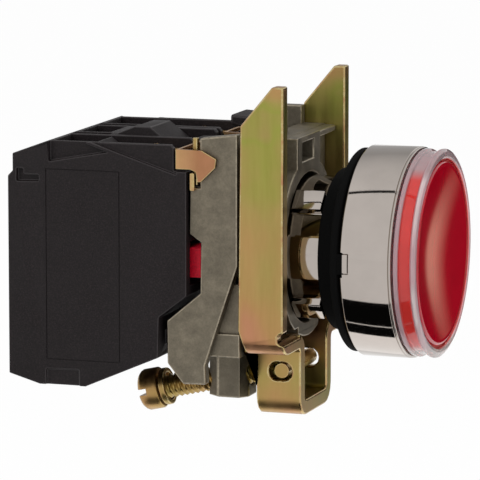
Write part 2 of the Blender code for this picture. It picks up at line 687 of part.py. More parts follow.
def make_collar():
    """Make the die-cast collar and the dowels beside its hooks."""
    frame = [
        (-COLLAR_HALF_WIDTH, COLLAR_BOTTOM + 4.0),
        (-COLLAR_HALF_WIDTH + 4.0, COLLAR_BOTTOM),
        (COLLAR_HALF_WIDTH - 4.0, COLLAR_BOTTOM),
        (COLLAR_HALF_WIDTH, COLLAR_BOTTOM + 4.0),
        (COLLAR_HALF_WIDTH, COLLAR_TOP),
        (-COLLAR_HALF_WIDTH, COLLAR_TOP),
    ]
    collar = prism_piece("collar", frame, COLLAR_FRAME_REAR, COLLAR_PLATE_FRONT, "die_cast", "X")
    plate = COLLAR_PLATE_FRONT - 0.2
    add(collar, "ring", lambda shape: fill_rod(
        shape, (plate, 0, 0), (COLLAR_FRONT, 0, 0), COLLAR_RING_RADIUS, LARGE_ROUND,
    ))
    add(collar, "tower", lambda shape: fill_box(
        shape,
        (plate, -TOWER_HALF_WIDTH, COLLAR_BORE - 1.5),
        (COLLAR_FRONT, TOWER_HALF_WIDTH, COLLAR_TOP - 0.05),
    ))
    add(collar, "far_strip", lambda shape: fill_box(
        shape,
        (plate, TOWER_HALF_WIDTH - 0.2, COLLAR_TOP - 1.0),
        (COLLAR_FRONT - 0.1, COLLAR_HALF_WIDTH - 0.05, COLLAR_TOP - 0.1),
    ))
    cut(collar, "tower_pocket", lambda shape: fill_box(
        shape, (COLLAR_FRONT - 3.2, -3.0, COLLAR_TOP - 3.4), (COLLAR_FRONT + 1.0, 2.3, COLLAR_TOP - 0.9),
    ))
    cut(collar, "bore", lambda shape: fill_rod(
        shape, (COLLAR_FRAME_REAR - 1.0, 0, 0), (COLLAR_FRONT + 1.0, 0, 0), COLLAR_BORE, LARGE_ROUND,
    ))
    add(collar, "raised_wall", lambda shape: fill_box(
        shape,
        (COLLAR_FRAME_REAR + 0.05, -2.2, COLLAR_TOP - 2.0),
        (COLLAR_FRAME_REAR + 1.3, 2.2, COLLAR_WALL_TOP),
    ))
    add(collar, "far_ear", lambda shape: fill_box(
        shape,
        (-16.5, COLLAR_HALF_WIDTH - 1.7, COLLAR_TOP - 1.2),
        (COLLAR_FRAME_REAR + 0.4, COLLAR_HALF_WIDTH - 0.1, COLLAR_EAR_TOP),
    ))
    for name, side in (("near_cheek", -1), ("far_cheek", 1)):
        add(collar, name, lambda shape, side=side: fill_prism(
            shape, CHEEK_OUTLINE, side * CHEEK_INSIDE, side * CHEEK_OUTSIDE,
        ))
        add(collar, name + "_root", lambda shape, side=side: fill_box(
            shape,
            (COLLAR_FRAME_REAR - 2.2, min(side * 11.6, side * COLLAR_HALF_WIDTH), 4.2),
            (COLLAR_FRAME_REAR + 1.5, max(side * 11.6, side * COLLAR_HALF_WIDTH), COLLAR_TOP - 0.5),
        ))
        add(collar, name + "_web", lambda shape, side=side: fill_prism(
            shape, CHEEK_WEB, side * 11.0, side * (CHEEK_INSIDE + 0.1),
        ))
        add(collar, name + "_catch", lambda shape, side=side: fill_box(
            shape,
            (-19.6, min(side * (CHEEK_OUTSIDE - 0.2), side * CATCH_OUTSIDE), 9.1),
            (-18.85, max(side * (CHEEK_OUTSIDE - 0.2), side * CATCH_OUTSIDE), 11.6),
        ))
    add(collar, "latch_seat", lambda shape: fill_prism(
        shape, LATCH_SEAT, -BLOCK_HALF_WIDTH, BLOCK_HALF_WIDTH,
    ))
    web_front = LEG_FRONT - LEG_WIDTH - 0.4
    web_top = -COLLAR_BORE - 0.1
    add(collar, "lower_web", lambda shape: fill_box(
        shape, (-17.4, -CHEEK_INSIDE - 0.6, -13.8), (web_front, CHEEK_INSIDE + 0.6, web_top),
    ))
    between_tabs = TAB_OUTSIDE - SHEET - GAP
    add(collar, "web_root", lambda shape: fill_box(
        shape,
        (web_front - 1.0, -between_tabs, COLLAR_BOTTOM + 0.1),
        (web_front + 1.2, between_tabs, web_top - 0.1),
    ))
    ledge_top = LEDGE_HEIGHT + SHEET / 2 + GAP
    for name, side in (("near_clearance", -1), ("far_clearance", 1)):
        cut(collar, name, lambda shape, side=side: fill_box(
            shape,
            (web_front + 0.1, min(side * between_tabs, side * LEG_OUTSIDE), COLLAR_BOTTOM - 2.0),
            (COLLAR_FRONT + 1.0, max(side * between_tabs, side * LEG_OUTSIDE), ledge_top),
        ))
    add(collar, "block_rail", lambda shape: fill_box(
        shape, (-22.6, -CHEEK_INSIDE - 0.6, -14.2), (-21.1, CHEEK_INSIDE + 0.6, -12.9),
    ))
    half_boss = [(-21.3, 1.6), (-19.6, BOSS_HALF_WIDTH), (-16.4, BOSS_HALF_WIDTH), (-15.4, 1.6)]
    boss = half_boss + mirrored(half_boss)[::-1]
    add(collar, "screw_boss", lambda shape: fill_prism(shape, boss, BOSS_BOTTOM, -14.2, "Z"))
    add(collar, "boss_root", lambda shape: fill_box(
        shape, (-17.3, -BOSS_HALF_WIDTH + 0.1, -15.2), (-15.5, BOSS_HALF_WIDTH - 0.1, -12.9),
    ))
    lean = Vector((math.cos(SCREW_LEAN), 0.0, math.sin(SCREW_LEAN)))
    pin = Vector((PIN_CENTRE[0], 0.0, PIN_CENTRE[1]))
    cut(collar, "screw_hole", lambda shape: fill_rod(
        shape, pin - lean * 16.0, pin - lean * 3.0, CLAMP_SCREW_RADIUS + 0.2, SCREW_ROUND,
    ))
    for name, side in (("near_dowel", -1), ("far_dowel", 1)):
        make_object(name, lambda shape, side=side: fill_rod(
            shape,
            (DOWEL_FOOT[0], side * DOWEL_SIDE, DOWEL_FOOT[1]),
            (DOWEL_TOP[0], side * DOWEL_SIDE, DOWEL_TOP[1]),
            DOWEL_RADIUS, SCREW_ROUND,
        ), "yellow_zinc")


BLOCK_OUTLINE = [
    (BLOCK_REAR, -16.3),
    (BLOCK_REAR, 11.2),
    (-44.8, 11.9),
    (-44.8, 14.3),
    (-39.7, BLOCK_TOP - 0.1),
    (-21.95, BLOCK_TOP),
    (-21.5, 15.85),
    (-21.5, 12.75),
    (BLOCK_FRONT, 12.75),
    (BLOCK_FRONT, -4.3),
    (-23.55, -7.4),
    (-23.7, -13.0),
    (-34.3, BLOCK_BOTTOM),
    (-41.0, BLOCK_BOTTOM),
]

# The lamp block's housing has a raised roof, which its cover leaves out
LAMP_OUTLINE = BLOCK_OUTLINE[:5] + [
    (-33.2, BLOCK_TOP),
    (-30.6, 17.35),
    (-28.3, 17.35),
    (-25.2, 15.0),
    (LAMP_FRONT, 15.0),
    (LAMP_FRONT, -5.8),
] + BLOCK_OUTLINE[10:]
LAMP_COVER_OUTLINE = BLOCK_OUTLINE[:6] + [
    (LAMP_FRONT, 15.85),
    (LAMP_FRONT, -5.8),
] + BLOCK_OUTLINE[10:]

# Recesses on a block's side: beside the wire mouth, behind the hook and at the rear corner
SIDE_RECESSES = {
    "hook_recess": [(-34.4, 16.6), (-21.0, 12.3), (-21.0, 17.6), (-34.4, 17.6)],
    "mouth_recess": [(-39.5, 17.6), (-39.5, 13.4), (-30.9, 15.0), (-34.0, 16.05), (-34.0, 17.6)],
    "corner_recess": [
        (-44.2, 10.5), (-40.95, 10.6), (-40.95, 11.5), (-43.2, 11.5), (-43.2, 12.3), (-44.2, 12.3),
    ],
    "foot_recess": [(-40.0, -18.8), (-35.2, -18.8), (-35.2, -15.3), (-40.0, -15.4)],
}
BODY_RECESS_DEPTH = {"hook_recess": 0.5, "mouth_recess": 0.8, "corner_recess": 0.7, "foot_recess": 0.35}
COVER_RECESS_DEPTH = {"hook_recess": 0.35, "mouth_recess": 0.55, "corner_recess": 0.5, "foot_recess": 0.25}

# Lug at a block's foot that goes behind the collar's rail
FOOT_LUG = [(-24.3, -9.4), (-19.7, -9.4), (-19.7, -12.6), (-20.4, -12.6), (-20.4, -11.5), (-24.3, -11.5)]
FOOT_LUG_HALF_WIDTH = 2.1


def terminal_cavity(front, partition):
    """Return half of a block's cavity above the axis, from the wire mouth to the front."""
    mouth_rear, mouth_front = WIRE_MOUTH
    half = [
        (mouth_rear, MOUTH_TOP),
        (mouth_rear, 13.1),
        (BLOCK_CAVITY_REAR, 13.1),
    ]
    if partition:
        half += [
            (BLOCK_CAVITY_REAR, 5.6),
            (-35.0, 5.6),
            (-35.0, 4.6),
            (BLOCK_CAVITY_REAR, 4.6),
        ]
    ending = [
        (mouth_front, STRIP_TOP + GAP),
        (-28.6, STRIP_TOP + GAP),
        (-28.6, 7.7),
        (front, 7.7),
    ]
    return half, ending


def make_housing(prefix, centre, outline, cover_outline, cavity):
    """Make a block's housing, which is open to the far side, and the cover that closes it."""
    low = centre - BLOCK_HALF_WIDTH
    high = centre + BLOCK_HALF_WIDTH
    body_end = centre + COVER_INSIDE - GAP
    inner = low + BLOCK_WALL
    housing = prism_piece(prefix + "_housing", outline, low, body_end, "black_plastic")
    cut(housing, "cavity", lambda shape: fill_prism(shape, cavity, inner, body_end + 1.0))
    cut(housing, "driver_holes", lambda shape: fill_driver_holes(shape, centre))
    cover = prism_piece(prefix + "_cover", cover_outline, centre + COVER_INSIDE, high, "black_plastic")
    for name, recess in SIDE_RECESSES.items():
        if prefix == "lamp" and name == "hook_recess":
            continue
        cut(housing, name, lambda shape, recess=recess, depth=BODY_RECESS_DEPTH[name]: fill_prism(
            shape, recess, low - 1.0, low + depth,
        ))
        cut(cover, name, lambda shape, recess=recess, depth=COVER_RECESS_DEPTH[name]: fill_prism(
            shape, recess, high - depth, high + 1.0,
        ))
    add(housing, "foot_lug", lambda shape: fill_prism(
        shape, FOOT_LUG, centre - FOOT_LUG_HALF_WIDTH, centre + FOOT_LUG_HALF_WIDTH,
    ))
    return housing, cover


def fill_driver_holes(shape, centre):
    """Add the two round holes at the rear that a screwdriver goes through."""
    for height in (-TERMINAL_HEIGHT, TERMINAL_HEIGHT):
        fill_rod(
            shape, (BLOCK_REAR - 2.0, centre, height), (BLOCK_CAVITY_REAR + 0.5, centre, height),
            TERMINAL_BORE, BORE_ROUND,
        )


def make_terminal(prefix, centre, side, strip_outline):
    """Make a terminal's screw, saddle and contact strip, above or below the axis."""
    place = "upper" if side > 0 else "lower"
    height = side * TERMINAL_HEIGHT
    axis = (TERMINAL_HEAD_SPAN[0], centre, height)

    def fill_screw(shape):
        fill_turned(shape, [
            (TERMINAL_HEAD_SPAN[0], 0.0),
            (TERMINAL_HEAD_SPAN[0], TERMINAL_HEAD_RADIUS),
            (TERMINAL_HEAD_SPAN[1], TERMINAL_HEAD_RADIUS),
            (TERMINAL_HEAD_SPAN[1], TERMINAL_SCREW_RADIUS),
            (TERMINAL_SCREW_END, TERMINAL_SCREW_RADIUS),
            (TERMINAL_SCREW_END, 0.0),
        ], SCREW_ROUND, closed=False)
        bmesh.ops.translate(shape, verts=shape.verts, vec=Vector((0.0, centre, height)) * MM)

    screw = make_object(f"{prefix}_{place}_screw", fill_screw, "spring_steel")
    cut(screw, "slot", lambda shape: fill_box(
        shape,
        (TERMINAL_HEAD_SPAN[0] - 1.0, centre - 3.5, height - 0.4),
        (TERMINAL_HEAD_SPAN[0] + 1.0, centre + 3.5, height + 0.4),
    ))
    place_origin(screw, axis)

    saddle = make_object(f"{prefix}_{place}_saddle", lambda shape: fill_box(
        shape,
        (SADDLE_SPAN[0], centre - SADDLE_HALF, height - SADDLE_HALF),
        (SADDLE_SPAN[1], centre + SADDLE_HALF, height + SADDLE_HALF),
    ), "yellow_zinc")
    hole = TERMINAL_SCREW_RADIUS + 0.25
    cut(saddle, "hole", lambda shape: fill_rod(
        shape, (SADDLE_SPAN[0] - 1.0, centre, height), (SADDLE_SPAN[1] + 1.0, centre, height),
        hole, SCREW_ROUND,
    ))
    place_origin(saddle, axis)

    outline = strip_outline if side > 0 else mirrored(strip_outline)
    strip = prism_piece(
        f"{prefix}_{place}_contact", outline, centre - STRIP_HALF_WIDTH, centre + STRIP_HALF_WIDTH, "brass",
    )
    cut(strip, "screw_hole", lambda shape: fill_rod(
        shape, (STRIP_PLATE_REAR - 1.0, centre, height), (STRIP_PLATE_REAR + 1.4, centre, height),
        hole, SCREW_ROUND,
    ))


def strip_to(leg_rear, button_faces):
    """Return the outline of a contact strip whose leg carries a button facing front or rear."""
    leg_front = leg_rear + STRIP_THICKNESS
    shelf = STRIP_INNER_HEIGHT + STRIP_THICKNESS
    outline = [
        (STRIP_PLATE_REAR, STRIP_TOP),
        (STRIP_PLATE_REAR, STRIP_INNER_HEIGHT),
    ]
    low, high = BUTTON_HEIGHT - BUTTON_HALF, BUTTON_HEIGHT + BUTTON_HALF
    if button_faces == "rear":
        outline += [
            (leg_rear, STRIP_INNER_HEIGHT), (leg_rear, high), (leg_rear - 0.5, high),
            (leg_rear - 0.5, low), (leg_rear, low), (leg_rear, 4.0), (leg_front, 4.0),
        ]
    if button_faces == "front":
        outline += [
            (leg_rear, STRIP_INNER_HEIGHT), (leg_rear, 4.0), (leg_front, 4.0), (leg_front, low),
            (leg_front + 0.5, low), (leg_front + 0.5, high), (leg_front, high),
        ]
    if button_faces is None:
        outline += [(leg_front, STRIP_INNER_HEIGHT)]
    return outline + [
        (leg_front, shelf),
        (STRIP_PLATE_REAR + STRIP_THICKNESS, shelf),
        (STRIP_PLATE_REAR + STRIP_THICKNESS, STRIP_TOP),
    ]


def make_contact_block(prefix, centre, plunger_finish, normally_closed):
    """Make a contact block with its housing, terminals, plunger, bridge, springs and hook."""
    half, ending = terminal_cavity(-23.8, partition=True)
    ridge = [
        (-20.0, MOUTH_TOP), (-20.0, RIDGE_FOOT), (-29.0, RIDGE_FOOT), RIDGE_PEAK,
        (WIRE_MOUTH[1] + 0.1, RIDGE_FOOT),
    ]
    cavity = (
        half
        + mirrored(half[:2:-1])
        + mirrored([half[2], half[1], half[0], (WIRE_MOUTH[1], MOUTH_TOP)])
        + mirrored(ending)
        + ending[::-1]
        + ridge[::-1]
    )
    housing, cover = make_housing(prefix, centre, BLOCK_OUTLINE, BLOCK_OUTLINE, cavity)
    inward = -math.copysign(1.0, centre)
    near, far = sorted((centre - inward * CHAMBER_HALF_WIDTH, centre + inward * (BLOCK_HALF_WIDTH + 1.0)))
    for piece in (housing, cover) if inward > 0 else (housing,):
        cut(piece, "wing_chamber", lambda shape: fill_box(
            shape, (-22.5, near, -CHAMBER_HALF_HEIGHT), (BLOCK_FRONT + 1.0, far, CHAMBER_HALF_HEIGHT),
        ))
    cut(housing, "plunger_guide", lambda shape: fill_box(
        shape,
        (-24.5, centre - PLUNGER_HALF_WIDTH - GAP, -PLUNGER_HALF_HEIGHT - GAP),
        (-22.0, centre + PLUNGER_HALF_WIDTH + GAP, PLUNGER_HALF_HEIGHT + GAP),
    ))

    leg = -24.9 if normally_closed else -31.2
    strip = strip_to(leg, "rear" if normally_closed else "front")
    for side in (-1, 1):
        make_terminal(prefix, centre, side, strip)

    plunger = make_object(prefix + "_plunger", lambda shape: fill_box(
        shape,
        (PLUNGER_REAR, centre - PLUNGER_HALF_WIDTH, -PLUNGER_HALF_HEIGHT),
        (PLUNGER_TIP, centre + PLUNGER_HALF_WIDTH, PLUNGER_HALF_HEIGHT),
    ), plunger_finish)
    window = (-30.6, BRIDGE_SPAN[1] + GAP) if normally_closed else (BRIDGE_SPAN[0] - GAP, -21.9)
    cut(plunger, "window", lambda shape: fill_box(
        shape, (window[0], centre - WINDOW_HALF_WIDTH, -4.0), (window[1], centre + WINDOW_HALF_WIDTH, 4.0),
    ))
    place_origin(plunger, (PLUNGER_TIP, centre, 0.0))

    rear, front = BRIDGE_SPAN
    low, high = BUTTON_HEIGHT - BUTTON_HALF, BUTTON_HEIGHT + BUTTON_HALF
    face = front + 0.4 if normally_closed else rear - 0.4
    back, flat = (rear, front) if normally_closed else (front, rear)
    upper_face = [(flat, high), (face, high), (face, low), (flat, low)]
    outline = (
        [(back, -BRIDGE_HALF_LENGTH), (back, BRIDGE_HALF_LENGTH), (flat, BRIDGE_HALF_LENGTH)]
        + upper_face[1:]
        + mirrored(upper_face)[::-1][:-1]
        + [(flat, -BRIDGE_HALF_LENGTH)]
    )
    bridge = prism_piece(
        prefix + "_bridge", outline, centre - BRIDGE_HALF_WIDTH, centre + BRIDGE_HALF_WIDTH, "copper",
    )
    place_origin(bridge, (BRIDGE_SPAN[0], centre, 0.0))

    contact_span = (window[0] + 0.1, rear - 0.1) if normally_closed else (front + 0.1, window[1] - 0.1)
    spring_piece(
        prefix + "_contact_spring", *contact_span, (centre, 0.0), CONTACT_COIL_RADIUS, CONTACT_WIRE, 4,
    )
    spring_piece(
        prefix + "_return_spring", BLOCK_CAVITY_REAR + 0.1, PLUNGER_REAR - 0.1, (centre, 0.0),
        BLOCK_COIL_RADIUS, BLOCK_WIRE, 5,
    )
    make_hook(prefix, centre)
    put_in_place(prefix + "_")


# The hook's tongue steps down from the cross strip to the pivot
HOOK_TONGUE = [
    (HOOK_PLATE_FRONT - 0.1, HOOK_TOP - 0.05),
    (HOOK_ARM_REAR + 0.1, HOOK_TOP - 0.05),
    (-22.4, HOOK_TONGUE_TOP),
    (HOOK_PIVOT[0] - 0.3, HOOK_TONGUE_TOP),
    (HOOK_PIVOT[0] - 0.3, HOOK_TONGUE_TOP - HOOK_SHEET),
    (-22.2, HOOK_TONGUE_TOP - HOOK_SHEET),
    (HOOK_PLATE_FRONT - 0.1, HOOK_TOP - HOOK_SHEET + 0.05),
]

HOOK_ARM = [
    (HOOK_ARM_REAR, HOOK_TOP),
    (-17.35, HOOK_TOP - 0.05),
    (-15.3, 14.65),
    (-15.45, 13.45),
    (-17.5, 11.45),
    (-18.0, 11.45),
    (-18.25, 12.8),
    (-19.0, 13.1),
    (HOOK_ARM_REAR, 13.1),
]


def put_in_place(prefix):
    """Move a finished block with its guides from its own axis to its place behind the collar."""
    for piece in bpy.data.objects:
        if piece.name.startswith(prefix):
            piece.location += Vector(BLOCK_PLACE) * MM


def make_hook(prefix, centre):
    """Make the sheet hook that straddles a contact block and grips the collar's catches."""
    outer = BLOCK_HALF_WIDTH - 0.05
    tongue = HOOK_TONGUE_HALF_WIDTH
    hook = prism_piece(
        prefix + "_hook", HOOK_TONGUE, centre - tongue, centre + tongue, "yellow_zinc",
    )
    add(hook, "cross_strip", lambda shape: fill_box(
        shape,
        (HOOK_ARM_REAR, centre - outer, HOOK_TOP - HOOK_SHEET),
        (HOOK_PLATE_FRONT, centre + outer, HOOK_TOP),
    ))
    for name, near, far in (
        ("near_arm", centre - outer, centre - outer + HOOK_SHEET),
        ("far_arm", centre + outer - HOOK_SHEET, centre + outer),
    ):
        add(hook, name, lambda shape, near=near, far=far: fill_prism(shape, HOOK_ARM, near, far))
    add(hook, "pivot", lambda shape: fill_rod(
        shape,
        (HOOK_PIVOT[0], centre - tongue - 0.6, HOOK_PIVOT[1]),
        (HOOK_PIVOT[0], centre + tongue + 0.6, HOOK_PIVOT[1]),
        HOOK_PIVOT_RADIUS, SCREW_ROUND,
    ))
    place_origin(hook, (HOOK_PIVOT[0], centre, HOOK_PIVOT[1]))


# Low arm, a stem in front of it that reaches over the collar's lip, and a head on the stem
LATCH_OUTLINE = [
    (-23.5, 13.8),
    (-16.2, 13.8),
    (-15.05, 14.9),
    (-15.05, 16.5),
    (-13.55, 16.5),
    (-13.55, 15.3),
    (-13.1, 15.3),
    (-12.45, 16.5),
    (-12.45, 19.1),
    (-17.2, 19.4),
    (-17.2, 17.95),
    (-15.75, 17.65),
    (-15.75, 16.3),
    (-16.3, 15.7),
    (-21.2, 15.6),
    (-23.5, 15.5),
]


def make_lamp_block(centre):
    """Make the lamp block with its housing, terminals, board, lamp and latch."""
    half, ending = terminal_cavity(LAMP_REAR, partition=False)
    cavity = (
        half
        + mirrored(half)[::-1]
        + [(WIRE_MOUTH[1], -MOUTH_TOP)]
        + mirrored(ending)
        + ending[::-1]
        + [(WIRE_MOUTH[1], MOUTH_TOP)]
    )
    housing, _ = make_housing("lamp", centre, LAMP_OUTLINE, LAMP_COVER_OUTLINE, cavity)
    cut(housing, "latch_well", lambda shape: fill_box(
        shape, (-24.2, centre - LATCH_HALF_WIDTH - GAP, 13.0), (-20.0, centre + BLOCK_HALF_WIDTH, 18.0),
    ))
    cut(housing, "lamp_hole", lambda shape: fill_rod(
        shape, (LAMP_REAR - 0.5, centre, 0.0), (LAMP_FRONT + 2.0, centre, 0.0),
        LAMP_RADIUS + GAP, LAMP_HOLE_ROUND,
    ))
    strip = strip_to(BOARD_SPAN[0] - GAP - STRIP_THICKNESS, None)
    for side in (-1, 1):
        make_terminal("lamp", centre, side, strip)
    make_object("lamp_board", lambda shape: fill_box(
        shape, (BOARD_SPAN[0], centre - 3.1, -7.4), (BOARD_SPAN[1], centre + 3.1, 7.4),
    ), "board_green")
    steps = 5
    dome = [
        (
            LAMP_SHOULDER + (LAMP_TIP - LAMP_SHOULDER) * math.sin(math.pi / 2 * step / steps),
            LAMP_RADIUS * math.cos(math.pi / 2 * step / steps),
        )
        for step in range(steps)
    ]
    bulb = [(LAMP_REAR, 0.0), (LAMP_REAR, LAMP_RADIUS)] + dome + [(LAMP_TIP, 0.0)]
    turned_piece("lamp", bulb, BORE_ROUND, "lamp_clear", closed=False)
    latch = prism_piece(
        "lamp_latch", LATCH_OUTLINE, centre - LATCH_HALF_WIDTH, centre + LATCH_HALF_WIDTH, "black_plastic",
    )
    place_origin(latch, (LATCH_PIVOT[0], centre, LATCH_PIVOT[1]))
    put_in_place("lamp")


def main():
    """Build every piece of the push button."""
    clear_scene()
    make_head()
    make_button()
    make_clamp()
    make_collar()
    make_contact_block("nc", -BLOCK_PITCH, "red_plastic", normally_closed=True)
    make_lamp_block(0.0)
    make_contact_block("no", BLOCK_PITCH, "green_plastic", normally_closed=False)


if __name__ == "__main__":
    main()
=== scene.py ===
"""Finished pieces, finishes and photo stage for a panel push button.

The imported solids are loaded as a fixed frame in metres. Each operator makes one piece, or a
group of like pieces, in its place on that frame, and the stage operator adds the floor, the
lamps, the cards that polished surfaces mirror, and the camera.
"""

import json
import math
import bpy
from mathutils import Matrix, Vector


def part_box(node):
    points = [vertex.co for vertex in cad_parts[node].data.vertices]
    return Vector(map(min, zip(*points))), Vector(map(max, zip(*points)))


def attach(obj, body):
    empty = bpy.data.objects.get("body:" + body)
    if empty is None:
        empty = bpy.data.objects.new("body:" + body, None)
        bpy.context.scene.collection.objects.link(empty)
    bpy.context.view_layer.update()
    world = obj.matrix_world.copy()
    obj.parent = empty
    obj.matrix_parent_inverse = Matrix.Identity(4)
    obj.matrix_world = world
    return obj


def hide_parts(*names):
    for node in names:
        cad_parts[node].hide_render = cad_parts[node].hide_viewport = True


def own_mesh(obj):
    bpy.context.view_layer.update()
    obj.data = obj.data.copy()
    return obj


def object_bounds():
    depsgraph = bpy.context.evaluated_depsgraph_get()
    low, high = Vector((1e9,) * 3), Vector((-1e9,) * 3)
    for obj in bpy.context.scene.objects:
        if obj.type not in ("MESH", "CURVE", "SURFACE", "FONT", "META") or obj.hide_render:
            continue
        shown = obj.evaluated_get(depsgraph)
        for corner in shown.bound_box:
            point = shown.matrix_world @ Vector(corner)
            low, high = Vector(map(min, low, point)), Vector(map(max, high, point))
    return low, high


bl_info = {
    "name": "Panel push button",
    "version": (1, 0, 0),
    "blender": (4, 5, 0),
    "location": "3D View > Sidebar > Push button",
    "description": "Dresses the solids of a panel push button and sets up its photo stage",
    "category": "Object",
}

import bpy
from bpy.props import FloatProperty, FloatVectorProperty, IntProperty, PointerProperty
from mathutils import Matrix, Vector

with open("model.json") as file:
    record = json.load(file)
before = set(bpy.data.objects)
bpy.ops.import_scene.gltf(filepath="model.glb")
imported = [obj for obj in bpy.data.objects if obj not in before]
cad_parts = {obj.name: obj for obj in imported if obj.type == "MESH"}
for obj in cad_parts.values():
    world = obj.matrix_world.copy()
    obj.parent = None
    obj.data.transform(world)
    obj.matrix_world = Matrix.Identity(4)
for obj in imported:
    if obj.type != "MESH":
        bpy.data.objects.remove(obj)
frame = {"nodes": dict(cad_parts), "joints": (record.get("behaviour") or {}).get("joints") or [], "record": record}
CAD_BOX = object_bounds()

MM = 0.001
BODY_OF = {
    node: body
    for body, members in frame["record"]["behaviour"]["bodies"].items()
    for node in members
}
BLOCKS = ("nc", "lamp", "no")
BEZEL_LOW, BEZEL_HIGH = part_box("bezel")
LENS_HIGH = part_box("lens")[1]

# Points nearer than this are one point, and triangles flatter than this are one face
TOUCHING = 0.0005 * MM
FLAT_ANGLE = math.radians(0.6)

# Share of a face that roundings may use up, and the least angles and runs they are reckoned with
FACE_SHARE = 0.9
NARROWEST_ANGLE = 1e-3
STRAIGHT_ANGLE = 1e-4
SHORTEST_RUN = 1e-9

# Rounding of the small inner pieces, and material slots after the first, which is for the faces
SMALL_EDGE = 0.12 * MM
EDGE_SLOT = 1
CATCH_SLOT = 2

WHITE = (1.0, 1.0, 1.0)
BLACK = (0.0, 0.0, 0.0)


def colour(name, description, default):
    """Return a colour property in linear light."""
    return FloatVectorProperty(
        name=name, description=description, default=default,
        subtype="COLOR", size=3, min=0.0, max=1.0,
    )


def length(name, description, default, low=0.0):
    """Return a length property, given in metres."""
    return FloatProperty(
        name=name, description=description, default=default, unit="LENGTH", min=low, precision=5,
    )


def degrees(name, description, default):
    """Return an angle property, given in degrees."""
    return FloatProperty(
        name=name, description=description, default=math.radians(default), subtype="ANGLE",
    )


class PUSHBUTTON_PG_sizes(bpy.types.PropertyGroup):
    """Sizes of edges, threads and turned pieces"""

    bezel_radius: length("Bezel radius", "Outer radius of the chromed bezel", BEZEL_HIGH.z)
    lens_radius: length("Lens radius", "Outer radius of the lens", LENS_HIGH.z)
    turned_steps: IntProperty(
        name="Turned steps", description="Facets of a turned piece", default=144, min=24, max=256,
    )
    moulding_edge: length("Moulding edge", "Rounding of the moulded blocks' edges", 0.16 * MM)
    casting_edge: length("Casting edge", "Rounding of the cast collar's edges", 0.24 * MM)
    sheet_edge: length("Sheet edge", "Rounding of the bent sheet's edges", 0.26 * MM)
    thread_pitch: length("Thread pitch", "Pitch of the clamp screw's thread", 0.8 * MM)
    thread_depth: length("Thread depth", "Depth of the clamp screw's thread", 0.42 * MM)


class PUSHBUTTON_PG_finishes(bpy.types.PropertyGroup):
    """Colours of the finishes"""

    chrome: colour("Chrome", "Chrome plating", (0.445, 0.40, 0.365))
    black: colour("Black moulding", "Moulded housings", (0.0092, 0.0068, 0.0072))
    rubber: colour("Rubber", "Gasket and seal", (0.0025, 0.0025, 0.0025))
    lens: colour("Lens", "Red lens", (0.42, 0.002, 0.014))
    casting: colour("Casting", "Die-cast collar", (0.185, 0.16, 0.12))
    red: colour("Red moulding", "Plunger of the opening contact", (0.85, 0.002, 0.03))
    green: colour("Green moulding", "Plunger of the closing contact", (0.012, 0.20, 0.05))
    brass: colour("Brass", "Contact strips", (0.62, 0.42, 0.14))
    copper: colour("Copper", "Contact bridges", (0.62, 0.27, 0.14))
    steel: colour("Steel", "Springs and terminal screws", (0.46, 0.45, 0.44))


class PUSHBUTTON_PG_stage(bpy.types.PropertyGroup):
    """Camera, floor and lamps"""

    azimuth: degrees("Azimuth", "Turn of the camera from square on to the blocks' side", 18.64)
    elevation: degrees("Elevation", "Height of the camera above the button's axis", 8.66)
    distance: length("Distance", "Camera to the button's axis at the panel", 592.6 * MM)
    aside: length("Aside", "Camera's move to the right", -16.413 * MM, low=-1.0)
    above: length("Above", "Camera's move upwards", 1.257 * MM, low=-1.0)
    lens: FloatProperty(
        name="Focal length", description="Focal length on a 36 mm sensor", default=323.7,
        unit="CAMERA",
    )
    floor_drop: length("Floor drop", "Floor below the lowest point of the part", 80.0 * MM)
    air: FloatProperty(
        name="Air", description="Strength of the even light from all sides", default=0.5, min=0.0,
    )


# Modelling helpers


def begin():
    """Leave edit mode and deselect everything."""
    active = bpy.context.view_layer.objects.active
    if active is not None and active.mode != "OBJECT":
        bpy.ops.object.mode_set(mode="OBJECT")
    bpy.ops.object.select_all(action="DESELECT")


def take(piece):
    """Make a piece the only selected and the active object."""
    begin()
    piece.select_set(True)
    bpy.context.view_layer.objects.active = piece


def edit(piece):
    """Open a piece in edit mode with its whole mesh selected."""
    take(piece)
    bpy.ops.object.mode_set(mode="EDIT")
    bpy.ops.mesh.select_all(action="SELECT")


def named(name):
    """Name the object that an operator has just added."""
    piece = bpy.context.view_layer.objects.active
    piece.name = name
    piece.data.name = name
    return piece


def apply_modifier(piece, kind, **values):
    """Add a modifier with these values and apply it."""
    take(piece)
    modifier = piece.modifiers.new(kind.lower(), kind)
    for key, value in values.items():
        setattr(modifier, key, value)
    bpy.ops.object.modifier_apply(modifier=modifier.name)


def spin_profile(name, profile, steps):
    """Draw (x, radius) points in millimetres one after another and spin them about X."""
    begin()
    bpy.ops.mesh.primitive_plane_add(size=MM)
    piece = named(name)
    edit(piece)
    bpy.ops.mesh.merge(type="CENTER")
    places = [Vector((x, 0.0, radius)) * MM for x, radius in profile]
    bpy.ops.transform.translate(value=places[0])
    for before, after in zip(places, places[1:]):
        bpy.ops.mesh.extrude_region_move(TRANSFORM_OT_translate={"value": after - before})
    bpy.ops.mesh.select_all(action="SELECT")
    bpy.ops.mesh.spin(steps=steps, angle=math.tau, center=(0, 0, 0), axis=(1, 0, 0))
    bpy.ops.mesh.select_all(action="SELECT")
    bpy.ops.mesh.remove_doubles(threshold=TOUCHING)
    bpy.ops.mesh.normals_make_consistent(inside=False)
    bpy.ops.object.mode_set(mode="OBJECT")
    return piece


